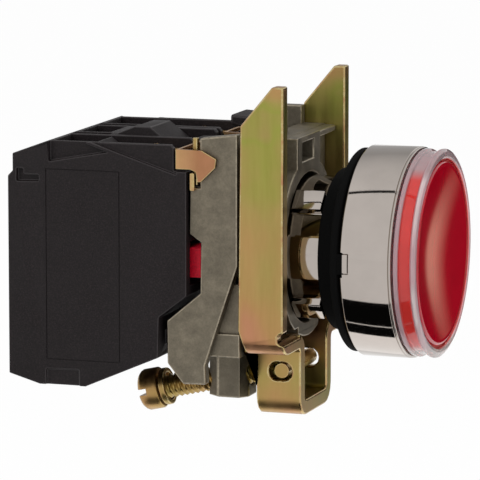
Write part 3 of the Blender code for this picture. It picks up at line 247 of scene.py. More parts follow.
def box_guide(low, high):
    """Add a box between two corners in millimetres, to cut or join with."""
    begin()
    low, high = Vector(low) * MM, Vector(high) * MM
    bpy.ops.mesh.primitive_cube_add(size=1.0, location=(low + high) / 2)
    guide = named("guide")
    guide.scale = high - low
    bpy.ops.object.transform_apply(location=True, rotation=True, scale=True)
    return guide


def combine(piece, guide, operation="DIFFERENCE", use_self=False):
    """Cut a piece with a guide, or join the guide to it, and remove the guide."""
    apply_modifier(
        piece, "BOOLEAN", object=guide, operation=operation, solver="EXACT", use_self=use_self,
    )
    bpy.data.objects.remove(guide)


def depth_across(start, along, inward, span, first, last):
    """Return how far inside an edge's strip a second edge comes, or None if it stays outside."""
    sides = [(point - start).dot(along) for point in (first, last)]
    depths = [(point - start).dot(inward) for point in (first, last)]
    if max(sides) <= 0.0 or min(sides) >= span:
        return None
    run = sides[1] - sides[0]
    shares = [0.0, 1.0]
    if abs(run) > SHORTEST_RUN:
        ends = sorted(((0.0 - sides[0]) / run, (span - sides[0]) / run))
        shares = [max(0.0, ends[0]), min(1.0, ends[1])]
    clipped = [depths[0] + (depths[1] - depths[0]) * share for share in shares]
    return None if max(clipped) <= 0.0 else max(0.0, min(clipped))


def corner_take(before, after, normal, first_sharp, last_sharp):
    """Return how much of its sides' lengths a corner uses up per unit of rounding."""
    bend = math.atan2(before.cross(after).dot(normal), before.dot(after))
    inside = max(math.pi - bend, NARROWEST_ANGLE)
    if inside >= math.pi - STRAIGHT_ANGLE or not (first_sharp or last_sharp):
        return 0.0
    if first_sharp and last_sharp:
        return 1.0 / math.tan(inside / 2)
    return 1.0 / math.sin(inside)


def face_room(face, mesh, sharp, room):
    """Lower the rounding of a face's sharp edges to what fits on the face."""
    edges = [mesh.loops[loop].edge_index for loop in face.loop_indices]
    if sharp.isdisjoint(edges):
        return
    corners = [mesh.vertices[index].co for index in face.vertices]
    count = len(corners)
    vectors = [corners[(k + 1) % count] - corners[k] for k in range(count)]
    spans = [vector.length for vector in vectors]
    steps = [vector.normalized() for vector in vectors]
    takes = [
        corner_take(steps[k - 1], steps[k], face.normal, edges[k - 1] in sharp, edges[k] in sharp)
        for k in range(count)
    ]
    for k in range(count):
        taken = takes[k] + takes[(k + 1) % count]
        if taken > 0.0:
            fits = FACE_SHARE * spans[k] / taken
            for edge in (edges[k - 1], edges[k], edges[(k + 1) % count]):
                if edge in sharp:
                    room[edge] = min(room[edge], fits)
        if edges[k] not in sharp:
            continue
        inward = face.normal.cross(steps[k])
        for other in range(count):
            if other in (k, (k + 1) % count, (k - 1) % count):
                continue
            first, last = corners[other], corners[(other + 1) % count]
            depth = depth_across(corners[k], steps[k], inward, spans[k], first, last)
            if depth is not None:
                share = FACE_SHARE / 2 if edges[other] in sharp else FACE_SHARE
                room[edges[k]] = min(room[edges[k]], share * depth)


def sharp_edges(mesh, angle, inner):
    """Return the edges sharper than an angle, with or without those in inner corners."""
    sides = {}
    for face in mesh.polygons:
        for loop in face.loop_indices:
            corner = mesh.loops[loop]
            sides.setdefault(corner.edge_index, []).append((face.normal, corner.vertex_index))
    found = set()
    for edge, pair in sides.items():
        if len(pair) != 2 or pair[0][0].angle(pair[1][0], 0.0) <= math.radians(angle):
            continue
        start = pair[0][1]
        end = sum(mesh.edges[edge].vertices) - start
        along = mesh.vertices[end].co - mesh.vertices[start].co
        if inner or pair[0][0].cross(pair[1][0]).dot(along) > 0.0:
            found.add(edge)
    return found


def weigh_edges(mesh, width, angle, inner):
    """Weigh the sharp edges by the share of a rounding that they have room for."""
    sharp = sharp_edges(mesh, angle, inner)
    room = dict.fromkeys(sharp, width)
    for face in mesh.polygons:
        face_room(face, mesh, sharp, room)
    weights = mesh.attributes.new("bevel_weight_edge", "FLOAT", "EDGE")
    for edge, fits in room.items():
        weights.data[edge].value = fits / width


def round_edges(
    piece, width, segments=3, angle=30.0, edge_slot=-1, slide=True, inner=True, even=False,
):
    """Round the edges that are sharper than an angle, evenly or less where a face is narrow."""
    limits = {"limit_method": "ANGLE", "angle_limit": math.radians(angle)}
    if not even:
        weigh_edges(piece.data, width, angle, inner)
        limits = {"limit_method": "WEIGHT"}
    apply_modifier(
        piece, "BEVEL", width=width, segments=segments, use_clamp_overlap=False,
        material=edge_slot, miter_outer="MITER_ARC", loop_slide=slide, **limits,
    )
    if not even:
        piece.data.attributes.remove(piece.data.attributes["bevel_weight_edge"])


def smooth(piece, angle=38.0):
    """Shade a piece smooth except at its sharp edges."""
    take(piece)
    bpy.ops.object.shade_smooth_by_angle(angle=math.radians(angle))


def copied(node, name, merge=0.002):
    """Copy a solid's mesh, merge its points and join its loose triangles into flat faces."""
    begin()
    piece = bpy.data.objects.new(name, frame["nodes"][node].data.copy())
    bpy.context.scene.collection.objects.link(piece)
    piece.data.name = name
    piece.data.materials.clear()
    take(piece)
    bpy.ops.mesh.customdata_custom_splitnormals_clear()
    edit(piece)
    bpy.ops.mesh.remove_doubles(threshold=merge * MM)
    bpy.ops.mesh.dissolve_limited(angle_limit=FLAT_ANGLE)
    bpy.ops.object.mode_set(mode="OBJECT")
    return piece


def coat(piece, *names):
    """Give a piece its finishes, the first for its faces and the next for its edges."""
    for name in names:
        piece.data.materials.append(finish(name))


def settle(piece, slot, *nodes):
    """Let a finished piece stand for its solids and ride on their body."""
    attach(piece, BODY_OF[nodes[0]])
    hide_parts(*nodes)


def turned(piece, node, slot, name, width, segments=2, sharp=25.0, soft=38.0):
    """Coat a turned piece, round its edges and let it stand for its solid."""
    coat(piece, name)
    round_edges(piece, width * MM, segments, sharp)
    smooth(piece, soft)
    settle(piece, slot, node)


def dressed(
    node, suffix, slot, width, face, edge=None, segments=2, merge=0.002, slide=True, inner=False,
    even=False,
):
    """Make a copy of a solid with rounded edges and a finish on faces and edges."""
    piece = copied(node, node + suffix, merge)
    coat(piece, face, edge or face)
    round_edges(
        piece, width, segments, edge_slot=EDGE_SLOT, slide=slide, inner=inner, even=even,
    )
    smooth(piece)
    apply_modifier(piece, "WEIGHTED_NORMAL", keep_sharp=True)
    settle(piece, slot, node)
    return piece


def repaint(node, name):
    """Give a solid that keeps its shape a finish."""
    for holder in frame["nodes"][node].material_slots:
        holder.material = finish(name)


def travel_of(name):
    """Return how far a sliding joint moves, in metres."""
    joint = next(joint for joint in frame["joints"] if joint["name"] == name)
    return max(abs(limit) for limit in joint["range_m"])


# Finishes


class Finish:
    """A material under construction, with its node tree and shader."""

    def __init__(self, name):
        self.material = bpy.data.materials.new(name)
        self.material.use_nodes = True
        self.tree = self.material.node_tree
        self.shader = self.tree.nodes["Principled BSDF"]

    def node(self, kind):
        """Add a node."""
        return self.tree.nodes.new(kind)

    def link(self, start, end):
        """Join two sockets."""
        self.tree.links.new(start, end)

    def set(self, **values):
        """Set the shader's own sockets, named with underscores."""
        for key, value in values.items():
            self.shader.inputs[key.replace("_", " ")].default_value = value

    def noise(self, scale, detail=4.0, roughness=0.55, stretch=(1.0, 1.0, 1.0)):
        """Return noise on Object coordinates, with features of about 1 / scale metres."""
        place = self.node("ShaderNodeTexCoord")
        mapping = self.node("ShaderNodeMapping")
        mapping.inputs["Scale"].default_value = stretch
        pattern = self.node("ShaderNodeTexNoise")
        pattern.inputs["Scale"].default_value = scale
        pattern.inputs["Detail"].default_value = detail
        pattern.inputs["Roughness"].default_value = roughness
        self.link(place.outputs["Object"], mapping.inputs["Vector"])
        self.link(mapping.outputs["Vector"], pattern.inputs["Vector"])
        return pattern.outputs["Fac"]

    def ramp(self, factor, stops):
        """Return colours that follow a pattern."""
        made = self.node("ShaderNodeValToRGB")
        elements = made.color_ramp.elements
        while len(elements) < len(stops):
            elements.new(0.5)
        while len(elements) > len(stops):
            elements.remove(elements[-1])
        for element, (position, tint) in zip(elements, stops):
            element.position = position
            element.color = (*tint, 1.0)
        self.link(factor, made.inputs["Fac"])
        return made.outputs["Color"]

    def tones(self, factor, tint, *stops):
        """Return a colour that a pattern makes darker or lighter, by (position, share) stops."""
        return self.ramp(factor, [(position, shade(tint, share)) for position, share in stops])

    def wash(self, factor, low):
        """Return a tint that fades to white with a pattern."""
        return self.ramp(factor, [(0.3, low), (0.7, WHITE)])

    def mix(self, factor, first, second, blend="MIX"):
        """Return a mix of two colours."""
        made = self.node("ShaderNodeMix")
        made.data_type = "RGBA"
        made.blend_type = blend
        # A Mix node has sockets for other kinds of values between its factor and its colours
        share, first_colour, second_colour = (made.inputs[place] for place in (0, 6, 7))
        if isinstance(factor, float):
            share.default_value = factor
        else:
            self.link(factor, share)
        self.link(first, first_colour)
        self.link(second, second_colour)
        return made.outputs[2]

    def multiply(self, first, second):
        """Return two colours multiplied."""
        return self.mix(1.0, first, second, "MULTIPLY")

    def spread(self, factor, low, high, start=0.3, end=0.7):
        """Return a pattern stretched from low to high."""
        made = self.node("ShaderNodeMapRange")
        self.link(factor, made.inputs["Value"])
        made.inputs["From Min"].default_value = start
        made.inputs["From Max"].default_value = end
        made.inputs["To Min"].default_value = low
        made.inputs["To Max"].default_value = high
        return made.outputs["Result"]

    def along(self, axis, start, end):
        """Return a run from 0 to 1 along an axis of the Object coordinates."""
        place = self.node("ShaderNodeTexCoord")
        split = self.node("ShaderNodeSeparateXYZ")
        self.link(place.outputs["Object"], split.inputs[0])
        return self.spread(split.outputs[axis], 0.0, 1.0, start, end)

    def bowed(self, run, across, amount):
        """Return a run pushed back by how far a second run is from its middle, squared."""
        side = self.spread(across, -1.0, 1.0, 0.0, 1.0)
        square = reckon(self.tree, "MULTIPLY", side, side)
        return reckon(self.tree, "MULTIPLY_ADD", square, -amount, run)

    def outward(self, start, end):
        """Return a run from 0 to 1 with the distance from the X axis."""
        place = self.node("ShaderNodeTexCoord")
        across = self.node("ShaderNodeVectorMath")
        across.operation = "MULTIPLY"
        across.inputs[1].default_value = (0.0, 1.0, 1.0)
        reach = self.node("ShaderNodeVectorMath")
        reach.operation = "LENGTH"
        self.link(place.outputs["Object"], across.inputs[0])
        self.link(across.outputs["Vector"], reach.inputs[0])
        return self.spread(reach.outputs["Value"], 0.0, 1.0, start, end)

    def colour(self, socket):
        """Use a colour as the base colour."""
        self.link(socket, self.shader.inputs["Base Color"])

    def roughness(self, pattern, low, high):
        """Use a pattern, stretched from low to high, as the roughness."""
        self.link(self.spread(pattern, low, high), self.shader.inputs["Roughness"])

    def bump(self, *layers):
        """Raise the surface by (pattern, height in millimetres) layers."""
        normal = None
        for pattern, height in layers:
            made = self.node("ShaderNodeBump")
            made.inputs["Strength"].default_value = 1.0
            made.inputs["Distance"].default_value = height * MM
            self.link(pattern, made.inputs["Height"])
            if normal is not None:
                self.link(normal, made.inputs["Normal"])
            normal = made.outputs["Normal"]
        self.link(normal, self.shader.inputs["Normal"])


def reckon(tree, operation, *values):
    """Return what a Math node makes of some sockets or numbers."""
    made = tree.nodes.new("ShaderNodeMath")
    made.operation = operation
    for entry, value in zip(made.inputs, values):
        if isinstance(value, float):
            entry.default_value = value
        else:
            tree.links.new(value, entry)
    return made.outputs[0]


def shade(tint, factor):
    """Return a colour made lighter or darker."""
    return tuple(min(1.0, part * factor) for part in tint)


def grey(tone):
    """Return a grey of one tone."""
    return (tone, tone, tone)


def chrome_finish(made, tints):
    """Bright chrome plating with a faint waviness."""
    made.set(Metallic=1.0)
    cloud = made.noise(160.0, 3.0)
    made.colour(made.tones(cloud, tints.chrome, (0.3, 0.94), (0.7, 1.05)))
    made.roughness(made.noise(2600.0, 6.0), 0.035, 0.085)
    made.bump((made.noise(210.0, 2.0), 0.0035))


def black_finish(made, tints):
    """Charcoal glass-filled moulding with a fine eroded grain."""
    grain = made.noise(5200.0, 3.0, 0.7)
    cloud = made.noise(130.0, 4.0)
    speck = made.tones(grain, tints.black, (0.35, 0.55), (0.52, 1.0), (0.72, 2.3))
    made.colour(made.multiply(speck, made.wash(cloud, (0.9, 0.86, 0.88))))
    made.set(Specular_IOR_Level=0.22)
    made.roughness(cloud, 0.52, 0.66)
    made.bump((grain, 0.018))


def grained(made, grain, colours, rough, height, **sockets):
    """Build a finish whose colours, roughness and relief follow one pattern."""
    made.set(**sockets)
    made.colour(colours)
    made.roughness(grain, *rough)
    made.bump((grain, height))


def black_edge_highlight_finish(made, tints):
    """The moulding's edges: rubbed, and lighter and glossier with a painted highlight."""
    grain = made.noise(4200.0, 3.0, 0.7)
    tones = made.tones(grain, tints.black, (0.35, 0.8), (0.7, 2.6))
    grained(made, grain, tones, (0.38, 0.55), 0.008, Specular_IOR_Level=0.4)


def rubber_finish(made, tints):
    """Matt black rubber with a dusty bloom."""
    grain = made.noise(3800.0, 5.0, 0.7)
    tones = made.tones(grain, tints.rubber, (0.4, 0.7), (0.62, 1.0), (0.75, 4.0))
    grained(made, grain, tones, (0.7, 0.9), 0.02, Specular_IOR_Level=0.07)


def lens_finish(made, tints):
    """Deep red moulded lens with a satin polish."""
    cloud = made.noise(120.0, 3.0)
    made.colour(made.tones(cloud, tints.lens, (0.3, 0.92), (0.7, 1.06)))
    made.set(Specular_IOR_Level=0.5, Coat_Weight=0.25, Coat_Roughness=0.05)
    made.roughness(made.noise(1900.0, 4.0), 0.05, 0.09)
    made.bump((made.noise(900.0, 2.0), 0.0006))


def clear_finish(made, tints):
    """Milky clear guard with painted light: the lens's red glow at the waist and in the bore, chamfer highlights,
    a lighter bottom and a darker top.
    """
    made.set(Transmission_Weight=0.55, IOR=1.49)
    flow = made.noise(260.0, 3.0)
    # red is the lens's red light, painted in at the waist
    flange, red, shoulder = (0.66, 0.48, 0.52), (0.92, 0.065, 0.055), (0.52, 0.30, 0.34)
    dull, face = (0.80, 0.66, 0.70), (0.76, 0.62, 0.66)
    bottom_painted_light, top_painted_shade = (0.86, 0.78, 0.75), (0.60, 0.47, 0.49)
    depth = made.along(0, 9.0 * MM, 12.0 * MM)
    height = made.along(2, -15.0 * MM, 15.0 * MM)
    bands = made.ramp(depth, [
        (0.19, flange), (0.23, red), (0.74, red), (0.78, shoulder),
        (0.82, shoulder), (0.87, dull), (0.94, dull), (0.985, face),
    ])
    # Painted highlights: white bands on the chamfer at two heights, screened over the bands
    chamfer_highlight_mask = made.ramp(depth, [(0.80, BLACK), (0.87, WHITE), (0.94, WHITE), (0.97, BLACK)])
    painted_highlight_band = made.ramp(height, [
        (0.20, BLACK), (0.26, WHITE), (0.38, WHITE), (0.44, BLACK),
        (0.58, BLACK), (0.70, WHITE), (0.86, WHITE), (0.92, BLACK),
    ])
    bands = made.mix(1.0, bands, made.multiply(chamfer_highlight_mask, painted_highlight_band), "SCREEN")
    # Painted light and shade at the ends: lighter at the bottom, darker at the top
    ends = made.ramp(height, [(0.075, WHITE), (0.11, BLACK), (0.87, BLACK), (0.91, WHITE)])
    bands = made.mix(ends, bands, made.ramp(height, [(0.3, bottom_painted_light), (0.7, top_painted_shade)]))
    # Painted red glow of the lens in the bore
    bore_painted_red = made.tones(flow, red, (0.3, 0.85), (0.7, 1.0))
    bore = made.ramp(made.outward(12.9 * MM, 13.3 * MM), [(0.3, WHITE), (0.6, BLACK)])
    made.colour(made.multiply(made.mix(bore, bands, bore_painted_red), made.wash(flow, (0.9, 0.9, 0.9))))
    made.roughness(made.noise(1500.0, 4.0), 0.03, 0.08)
    made.bump((flow, 0.002))


def casting_finish(made, tints):
    """Warm grey zinc casting with a soft mottle and a sandy skin."""
    mottle = made.noise(420.0, 6.0, 0.65)
    skin = made.noise(4300.0, 4.0, 0.7)
    tone = made.tones(mottle, tints.casting, (0.3, 0.72), (0.5, 1.0), (0.72, 1.45))
    sand = made.ramp(skin, [(0.35, (0.82, 0.82, 0.8)), (0.65, WHITE)])
    made.colour(made.multiply(tone, sand))
    made.set(Metallic=0.85, Specular_IOR_Level=0.4)
    made.roughness(mottle, 0.46, 0.6)
    made.bump((skin, 0.016), (mottle, 0.012))


def casting_edge_highlight_finish(made, tints):
    """The casting's edges: rubbed, and brighter than its skin with a painted highlight."""
    skin = made.noise(2600.0, 4.0, 0.7)
    tones = made.tones(skin, tints.casting, (0.35, 1.15), (0.65, 2.0))
    grained(made, skin, tones, (0.26, 0.42), 0.008, Metallic=0.95)


def plate(made, bands):
    """Give a passivated sheet its colour bands, a brushed grain and a metal's gloss."""
    streak = made.noise(900.0, 4.0, 0.6, stretch=(1.0, 1.0, 0.12))
    made.colour(made.multiply(bands, made.wash(streak, (0.86, 0.84, 0.80))))
    made.set(Metallic=1.0)
    made.roughness(streak, 0.30, 0.44)
    made.bump((streak, 0.006), (made.noise(3600.0, 3.0), 0.006))


def zinc_finish(made, tints):
    """Yellow passivated zinc, which drifts between rose, gold and olive and is greener high up."""
    drift = made.noise(150.0, 2.5, 0.5, stretch=(1.0, 0.7, 0.55))
    low, high = -24.0, 26.0
    tones = [
        (-22.0, 0.24), (-17.0, 0.27), (-13.0, 0.16), (-9.0, 0.20), (0.0, 0.23), (12.0, 0.25),
        (15.5, 0.28), (17.0, 0.34), (20.0, 0.36), (21.5, 0.30), (22.4, 0.20), (24.0, 0.13),
    ]
    lift = made.ramp(made.along(2, low * MM, high * MM), [
        ((height - low) / (high - low), grey(tone)) for height, tone in tones
    ])
    shifted = made.mix(1.0, made.spread(drift, 0.0, 0.45, 0.0, 1.0), lift, "ADD")
    plate(made, made.ramp(shifted, [
        (0.26, (0.52, 0.23, 0.14)),
        (0.38, (0.46, 0.27, 0.11)),
        (0.50, (0.40, 0.30, 0.10)),
        (0.60, (0.32, 0.32, 0.07)),
        (0.72, (0.44, 0.27, 0.13)),
    ]))


def hook_finish(made, tints):
    """The hooks' zinc, gold at the block and rosier towards the tip."""
    drift = made.noise(400.0, 3.0)
    reach = made.ramp(made.along(0, -24.0 * MM, -17.0 * MM), [
        (0.05, (0.60, 0.38, 0.15)), (0.45, (0.54, 0.31, 0.15)), (0.85, (0.44, 0.21, 0.11)),
    ])
    plate(made, made.multiply(reach, made.wash(drift, (0.88, 0.9, 0.88))))


def zinc_edge_highlight_finish(made, tints):
    """Edges of the passivated sheet: worn, and paler and rosier than its faces with a painted highlight."""
    drift = made.noise(700.0, 4.0)
    tones = made.ramp(drift, [
        (0.3, (0.42, 0.22, 0.11)), (0.5, (0.48, 0.36, 0.16)), (0.7, (0.56, 0.47, 0.26)),
    ])
    grained(made, drift, tones, (0.18, 0.32), 0.004, Metallic=1.0)


def moulding_finish(made, tint):
    """A coloured inner moulding with a fine grain."""
    grain = made.noise(2800.0, 4.0, 0.6)
    tones = made.tones(grain, tint, (0.35, 0.85), (0.65, 1.12))
    grained(made, grain, tones, (0.38, 0.5), 0.006, Specular_IOR_Level=0.4)


def metal_finish(made, tint):
    """A plain drawn or rolled metal with fine streaks."""
    streak = made.noise(1500.0, 5.0, 0.6, stretch=(0.2, 1.0, 1.0))
    tones = made.tones(streak, tint, (0.3, 0.82), (0.7, 1.12))
    grained(made, streak, tones, (0.2, 0.36), 0.004, Metallic=1.0)


def board_finish(made, tints):
    """Green laminate with a woven ground."""
    weave = made.noise(2400.0, 2.0, 0.5, stretch=(1.0, 1.0, 0.3))
    tones = made.ramp(weave, [(0.35, (0.02, 0.12, 0.05)), (0.65, (0.035, 0.2, 0.08))])
    grained(made, weave, tones, (0.35, 0.5), 0.006)


def lamp_finish(made, tints):
    """Clear lamp bulb with a milky ground."""
    cloud = made.noise(500.0, 3.0)
    tones = made.ramp(cloud, [(0.3, (0.86, 0.80, 0.80)), (0.7, (0.95, 0.92, 0.92))])
    grained(made, cloud, tones, (0.08, 0.2), 0.004, Transmission_Weight=0.7, IOR=1.5)


FINISH_MAKERS = {
    "chrome_plate": chrome_finish,
    "black_moulding": black_finish,
    "black_moulding_edge_highlight": black_edge_highlight_finish,
    "black_rubber": rubber_finish,
    "lens_moulding": lens_finish,
    "clear_guard": clear_finish,
    "zinc_casting": casting_finish,
    "zinc_casting_edge_highlight": casting_edge_highlight_finish,
    "zinc_sheet": zinc_finish,
    "zinc_sheet_edge_highlight": zinc_edge_highlight_finish,
    "zinc_hook": hook_finish,
    "red_moulding": lambda made, tints: moulding_finish(made, tints.red),
    "green_moulding": lambda made, tints: moulding_finish(made, tints.green),
    "white_moulding": lambda made, tints: moulding_finish(made, (0.78, 0.77, 0.72)),
    "brass_strip": lambda made, tints: metal_finish(made, tints.brass),
    "copper_bridge": lambda made, tints: metal_finish(made, tints.copper),
    "bright_steel": lambda made, tints: metal_finish(made, tints.steel),
    "board_laminate": board_finish,
    "lamp_glass": lamp_finish,
}


def finish(name):
    """Return a finish, making it when it is first asked for."""
    ready = bpy.data.materials.get(name)
    if ready is None:
        made = Finish(name)
        FINISH_MAKERS[name](made, bpy.context.scene.pushbutton_finishes)
        ready = made.material
    return ready


# Operators


class PUSHBUTTON_OT_stage(bpy.types.Operator):
    """Add the floor, the lamps, the cards that polished surfaces mirror, and the camera"""

    bl_idname = "pushbutton.stage"
    bl_label = "Stage"

    def execute(self, context):
        scene = context.scene
        stage = scene.pushbutton_stage
        scene.view_settings.view_transform = "Standard"
        self.add_air(scene, stage.air)
        self.add_floor(CAD_BOX[0][2] - stage.floor_drop)
        self.add_lamps()
        self.add_cards()
        self.add_camera(scene, stage)
        return {"FINISHED"}

    @staticmethod
    def seen(tree):
        """Return a factor that is 1 for rays that should meet a white background."""
        rays = tree.nodes.new("ShaderNodeLightPath").outputs
        direct = reckon(tree, "MAXIMUM", rays["Is Camera Ray"], rays["Is Glossy Ray"])
        return reckon(tree, "MAXIMUM", direct, rays["Is Transmission Ray"])

    def blend(self, tree, plain, white, output, share=None):
        """Show a white shader to the rays that should meet it, and a plain one to the rest."""
        factor = self.seen(tree)
        if share is not None:
            factor = reckon(tree, "MULTIPLY", factor, share)
        mix = tree.nodes.new("ShaderNodeMixShader")
        tree.links.new(factor, mix.inputs[0])
        tree.links.new(plain.outputs[0], mix.inputs[1])
        tree.links.new(white.outputs[0], mix.inputs[2])
        tree.links.new(mix.outputs[0], tree.nodes[output].inputs["Surface"])

    def add_air(self, scene, strength):
        """Even light from all sides, white where it is seen."""
        world = bpy.data.worlds.new("studio_air")
        world.use_nodes = True
        tree = world.node_tree
        soft = tree.nodes["Background"]
        soft.inputs["Color"].default_value = (1.0, 0.99, 0.98, 1.0)
        soft.inputs["Strength"].default_value = strength
        white = tree.nodes.new("ShaderNodeBackground")
        white.inputs["Color"].default_value = (*WHITE, 1.0)
        self.blend(tree, soft, white, "World Output")
        scene.world = world

    def add_floor(self, height):
        """A pale floor that takes the part's shadow."""
        begin()
        bpy.ops.mesh.primitive_plane_add(size=6.0, location=(0.0, 0.0, height))
        floor = named("pale_floor")
        bpy.ops.object.transform_apply(location=True)
        made = bpy.data.materials.new("floor_paper")
        made.use_nodes = True
        tree = made.node_tree
        paper = tree.nodes["Principled BSDF"]
        paper.inputs["Base Color"].default_value = (0.82, 0.82, 0.82, 1.0)
        paper.inputs["Roughness"].default_value = 0.9
        paper.inputs["Specular IOR Level"].default_value = 0.1
        glow = tree.nodes.new("ShaderNodeEmission")
        self.blend(tree, paper, glow, "Material Output", share=0.97)
        floor.data.materials.append(made)

    def add_lamps(self):
        """Three soft boxes: above on the left, low on the right and overhead."""
        middle = Vector((-15.0, 0.0, 0.0)) * MM
        for name, place, side, power in (
            ("key_box", (-0.35, -0.55, 0.50), 0.55, 3.2),
            ("fill_box", (0.60, -0.30, 0.15), 0.45, 1.3),
            ("top_box", (0.0, 0.10, 0.75), 0.60, 2.4),
        ):
            lamp = bpy.data.lights.new(name, "AREA")
            lamp.shape = "SQUARE"
            lamp.size = side
            lamp.energy = power
            holder = bpy.data.objects.new(name, lamp)
            bpy.context.scene.collection.objects.link(holder)
            holder.location = place
            aim = middle - Vector(place)
            holder.rotation_euler = aim.to_track_quat("-Z", "Y").to_euler()
            holder.visible_glossy = False

    def add_cards(self):
        """Cards below, above and behind with runs of tones that only polished surfaces mirror."""
        night, dark, half, warm = grey(0.004), grey(0.01), grey(0.4), (0.765, 0.534, 0.38)
        for name, low, high, *tones in (
            ("card_below_near", (-70, -95, -100), (70, -28, -100), {1: [(0, night)]}),
            ("card_below_far", (-70, -25.6, -100), (70, 0, -100), {1: [(0, night)]}),
            ("card_below_bright", (-70, 0.2, -100), (70, 90, -100), {1: [(0, grey(1.38))]}),
            ("card_above_strip", (-320, -100, 300), (140, -82, 300), {1: [(0, grey(0.02))]}),
            ("card_above", (-900, -80, 310), (140, 2500, 310), {
                1: [(-80, WHITE), (90, grey(0.85)), (330, grey(0.5))],
            }),
            ("card_window", (34, 150, -34), (90, 150, -15), {
                0: [(36, dark), (41, warm), (49, warm), (62, dark)],
                2: [
                    (-31.6, dark), (-30.0, half), (-26.5, WHITE),
                    (-22.4, WHITE), (-19.0, half), (-17.4, dark),
                ],
            }, 0.7),
            ("card_behind", (-60, 400, -140), (700, 400, 60), {
                0: [(280, dark), (380, grey(0.3))],
            }),
        ):
            self.add_card(name, Vector(low) * MM, Vector(high) * MM, *tones)

    @staticmethod
    def add_card(name, low, high, runs, bow=0.0):
        """Add one card between two corners, with tones at places in millimetres along its axes.

        The tones along X bend to a bow, whose depth is a share of the card's width.
        """
        begin()
        bpy.ops.mesh.primitive_plane_add(size=1.0)
        card = named(name)
        size = high - low
        if size.z == 0.0:
            card.scale = (size.x, size.y, 1.0)
        else:
            card.rotation_euler = (math.pi / 2, 0.0, 0.0)
            card.scale = (size.x, size.z, 1.0)
        card.location = (low + high) / 2
        bpy.ops.object.transform_apply(location=True, rotation=True, scale=True)
        made = Finish(name)
        shown = None
        for axis, tones in runs.items():
            along = made.along(axis, low[axis], high[axis])
            if axis == 0 and bow:
                along = made.bowed(along, made.along(2, low.z, high.z), bow)
            run = made.ramp(along, [
                ((spot * MM - low[axis]) / size[axis], tone) for spot, tone in tones
            ])
            shown = run if shown is None else made.multiply(shown, run)
        glow = made.node("ShaderNodeEmission")
        made.link(shown, glow.inputs["Color"])
        made.link(glow.outputs[0], made.tree.nodes["Material Output"].inputs["Surface"])
        card.data.materials.append(made.material)
        for kind in ("camera", "diffuse", "shadow"):
            setattr(card, "visible_" + kind, False)

    @staticmethod
    def add_camera(scene, stage):
        """The camera at the photograph's viewing angle."""
        toward = Vector((
            math.sin(stage.azimuth) * math.cos(stage.elevation),
            -math.cos(stage.azimuth) * math.cos(stage.elevation),
            math.sin(stage.elevation),
        ))
        right = Vector((math.cos(stage.azimuth), math.sin(stage.azimuth), 0.0))
        up = toward.cross(right)
        camera = bpy.data.cameras.new("photo_camera")
        camera.lens = stage.lens
        camera.sensor_width = 36.0
        camera.clip_start = 0.01
        camera.clip_end = 20.0
        holder = bpy.data.objects.new("photo_camera", camera)
        scene.collection.objects.link(holder)
        place = toward * stage.distance + right * stage.aside + up * stage.above
        turn = Matrix((right, up, toward)).transposed().to_4x4()
        holder.matrix_world = Matrix.Translation(place) @ turn
        scene.camera = holder


class PUSHBUTTON_OT_bezel(bpy.types.Operator):
    """Turn the chromed bezel, with a rolled front lip and the notch for the gasket's key"""

    bl_idname = "pushbutton.bezel"
    bl_label = "Bezel"

    def execute(self, context):
        sizes = context.scene.pushbutton_sizes
        radius = sizes.bezel_radius / MM
        rear, front = BEZEL_LOW.x / MM, BEZEL_HIGH.x / MM
        bore, throat, step, bevel = 10.3, 13.7, 2.5, 0.28
        bezel = spin_profile("bezel_turned", [
            (rear, bore),
            (rear, radius - bevel),
            (rear + bevel, radius),
            (front - 0.44, radius),
            (front - 0.35, radius - 0.2),
            (front - 0.25, radius - 0.05),
            (front - 0.12, radius - 0.05),
            (front, radius - 0.2),
            (front, throat),
            (step, throat),
            (step, bore),
            (rear, bore),
        ], sizes.turned_steps)
        notch = box_guide((0.5, -16.0, -1.7), (1.95, -13.1, 1.7))
        combine(bezel, notch)
        outline = box_guide((1.8, -16.0, -1.25), (2.8, -radius + 0.6, 1.6))
        middle = box_guide((1.7, -17.0, -1.1), (2.66, -13.0, 1.45))
        combine(outline, middle)
        combine(bezel, outline)
        turned(bezel, "bezel", "chrome", "chrome_plate", 0.05, soft=30.0)
        return {"FINISHED"}


class PUSHBUTTON_OT_seals(bpy.types.Operator):
    """Turn the rubber gasket with its sealing lips and key, and the wiper seal"""

    bl_idname = "pushbutton.seals"
    bl_label = "Seals"

    def execute(self, context):
        steps = context.scene.pushbutton_sizes.turned_steps
        gasket = spin_profile("gasket_moulded", [
            (-2.6, 10.3), (-2.6, 10.95), (-2.4, 11.15), (0.2, 11.15), (0.2, 11.85), (0.0, 12.0),
            (0.0, 13.75), (0.25, 14.0), (1.0, 14.0), (1.2, 13.8), (1.2, 10.3), (-2.6, 10.3),
        ], steps)
        key = box_guide((0.6, -13.92, -1.4), (1.85, -13.4, 1.4))
        combine(gasket, key, "UNION")
        turned(gasket, "gasket", "rubber", "black_rubber", 0.08)
        wiper = spin_profile("wiper_seal_moulded", [
            (1.6, 7.5), (1.6, 8.85), (2.7, 8.85), (2.7, 8.2),
            (2.2, 7.9), (2.7, 7.6), (2.6, 7.5), (1.6, 7.5),
        ], steps)
        turned(wiper, "wiper_seal", "rubber", "black_rubber", 0.06)
        return {"FINISHED"}


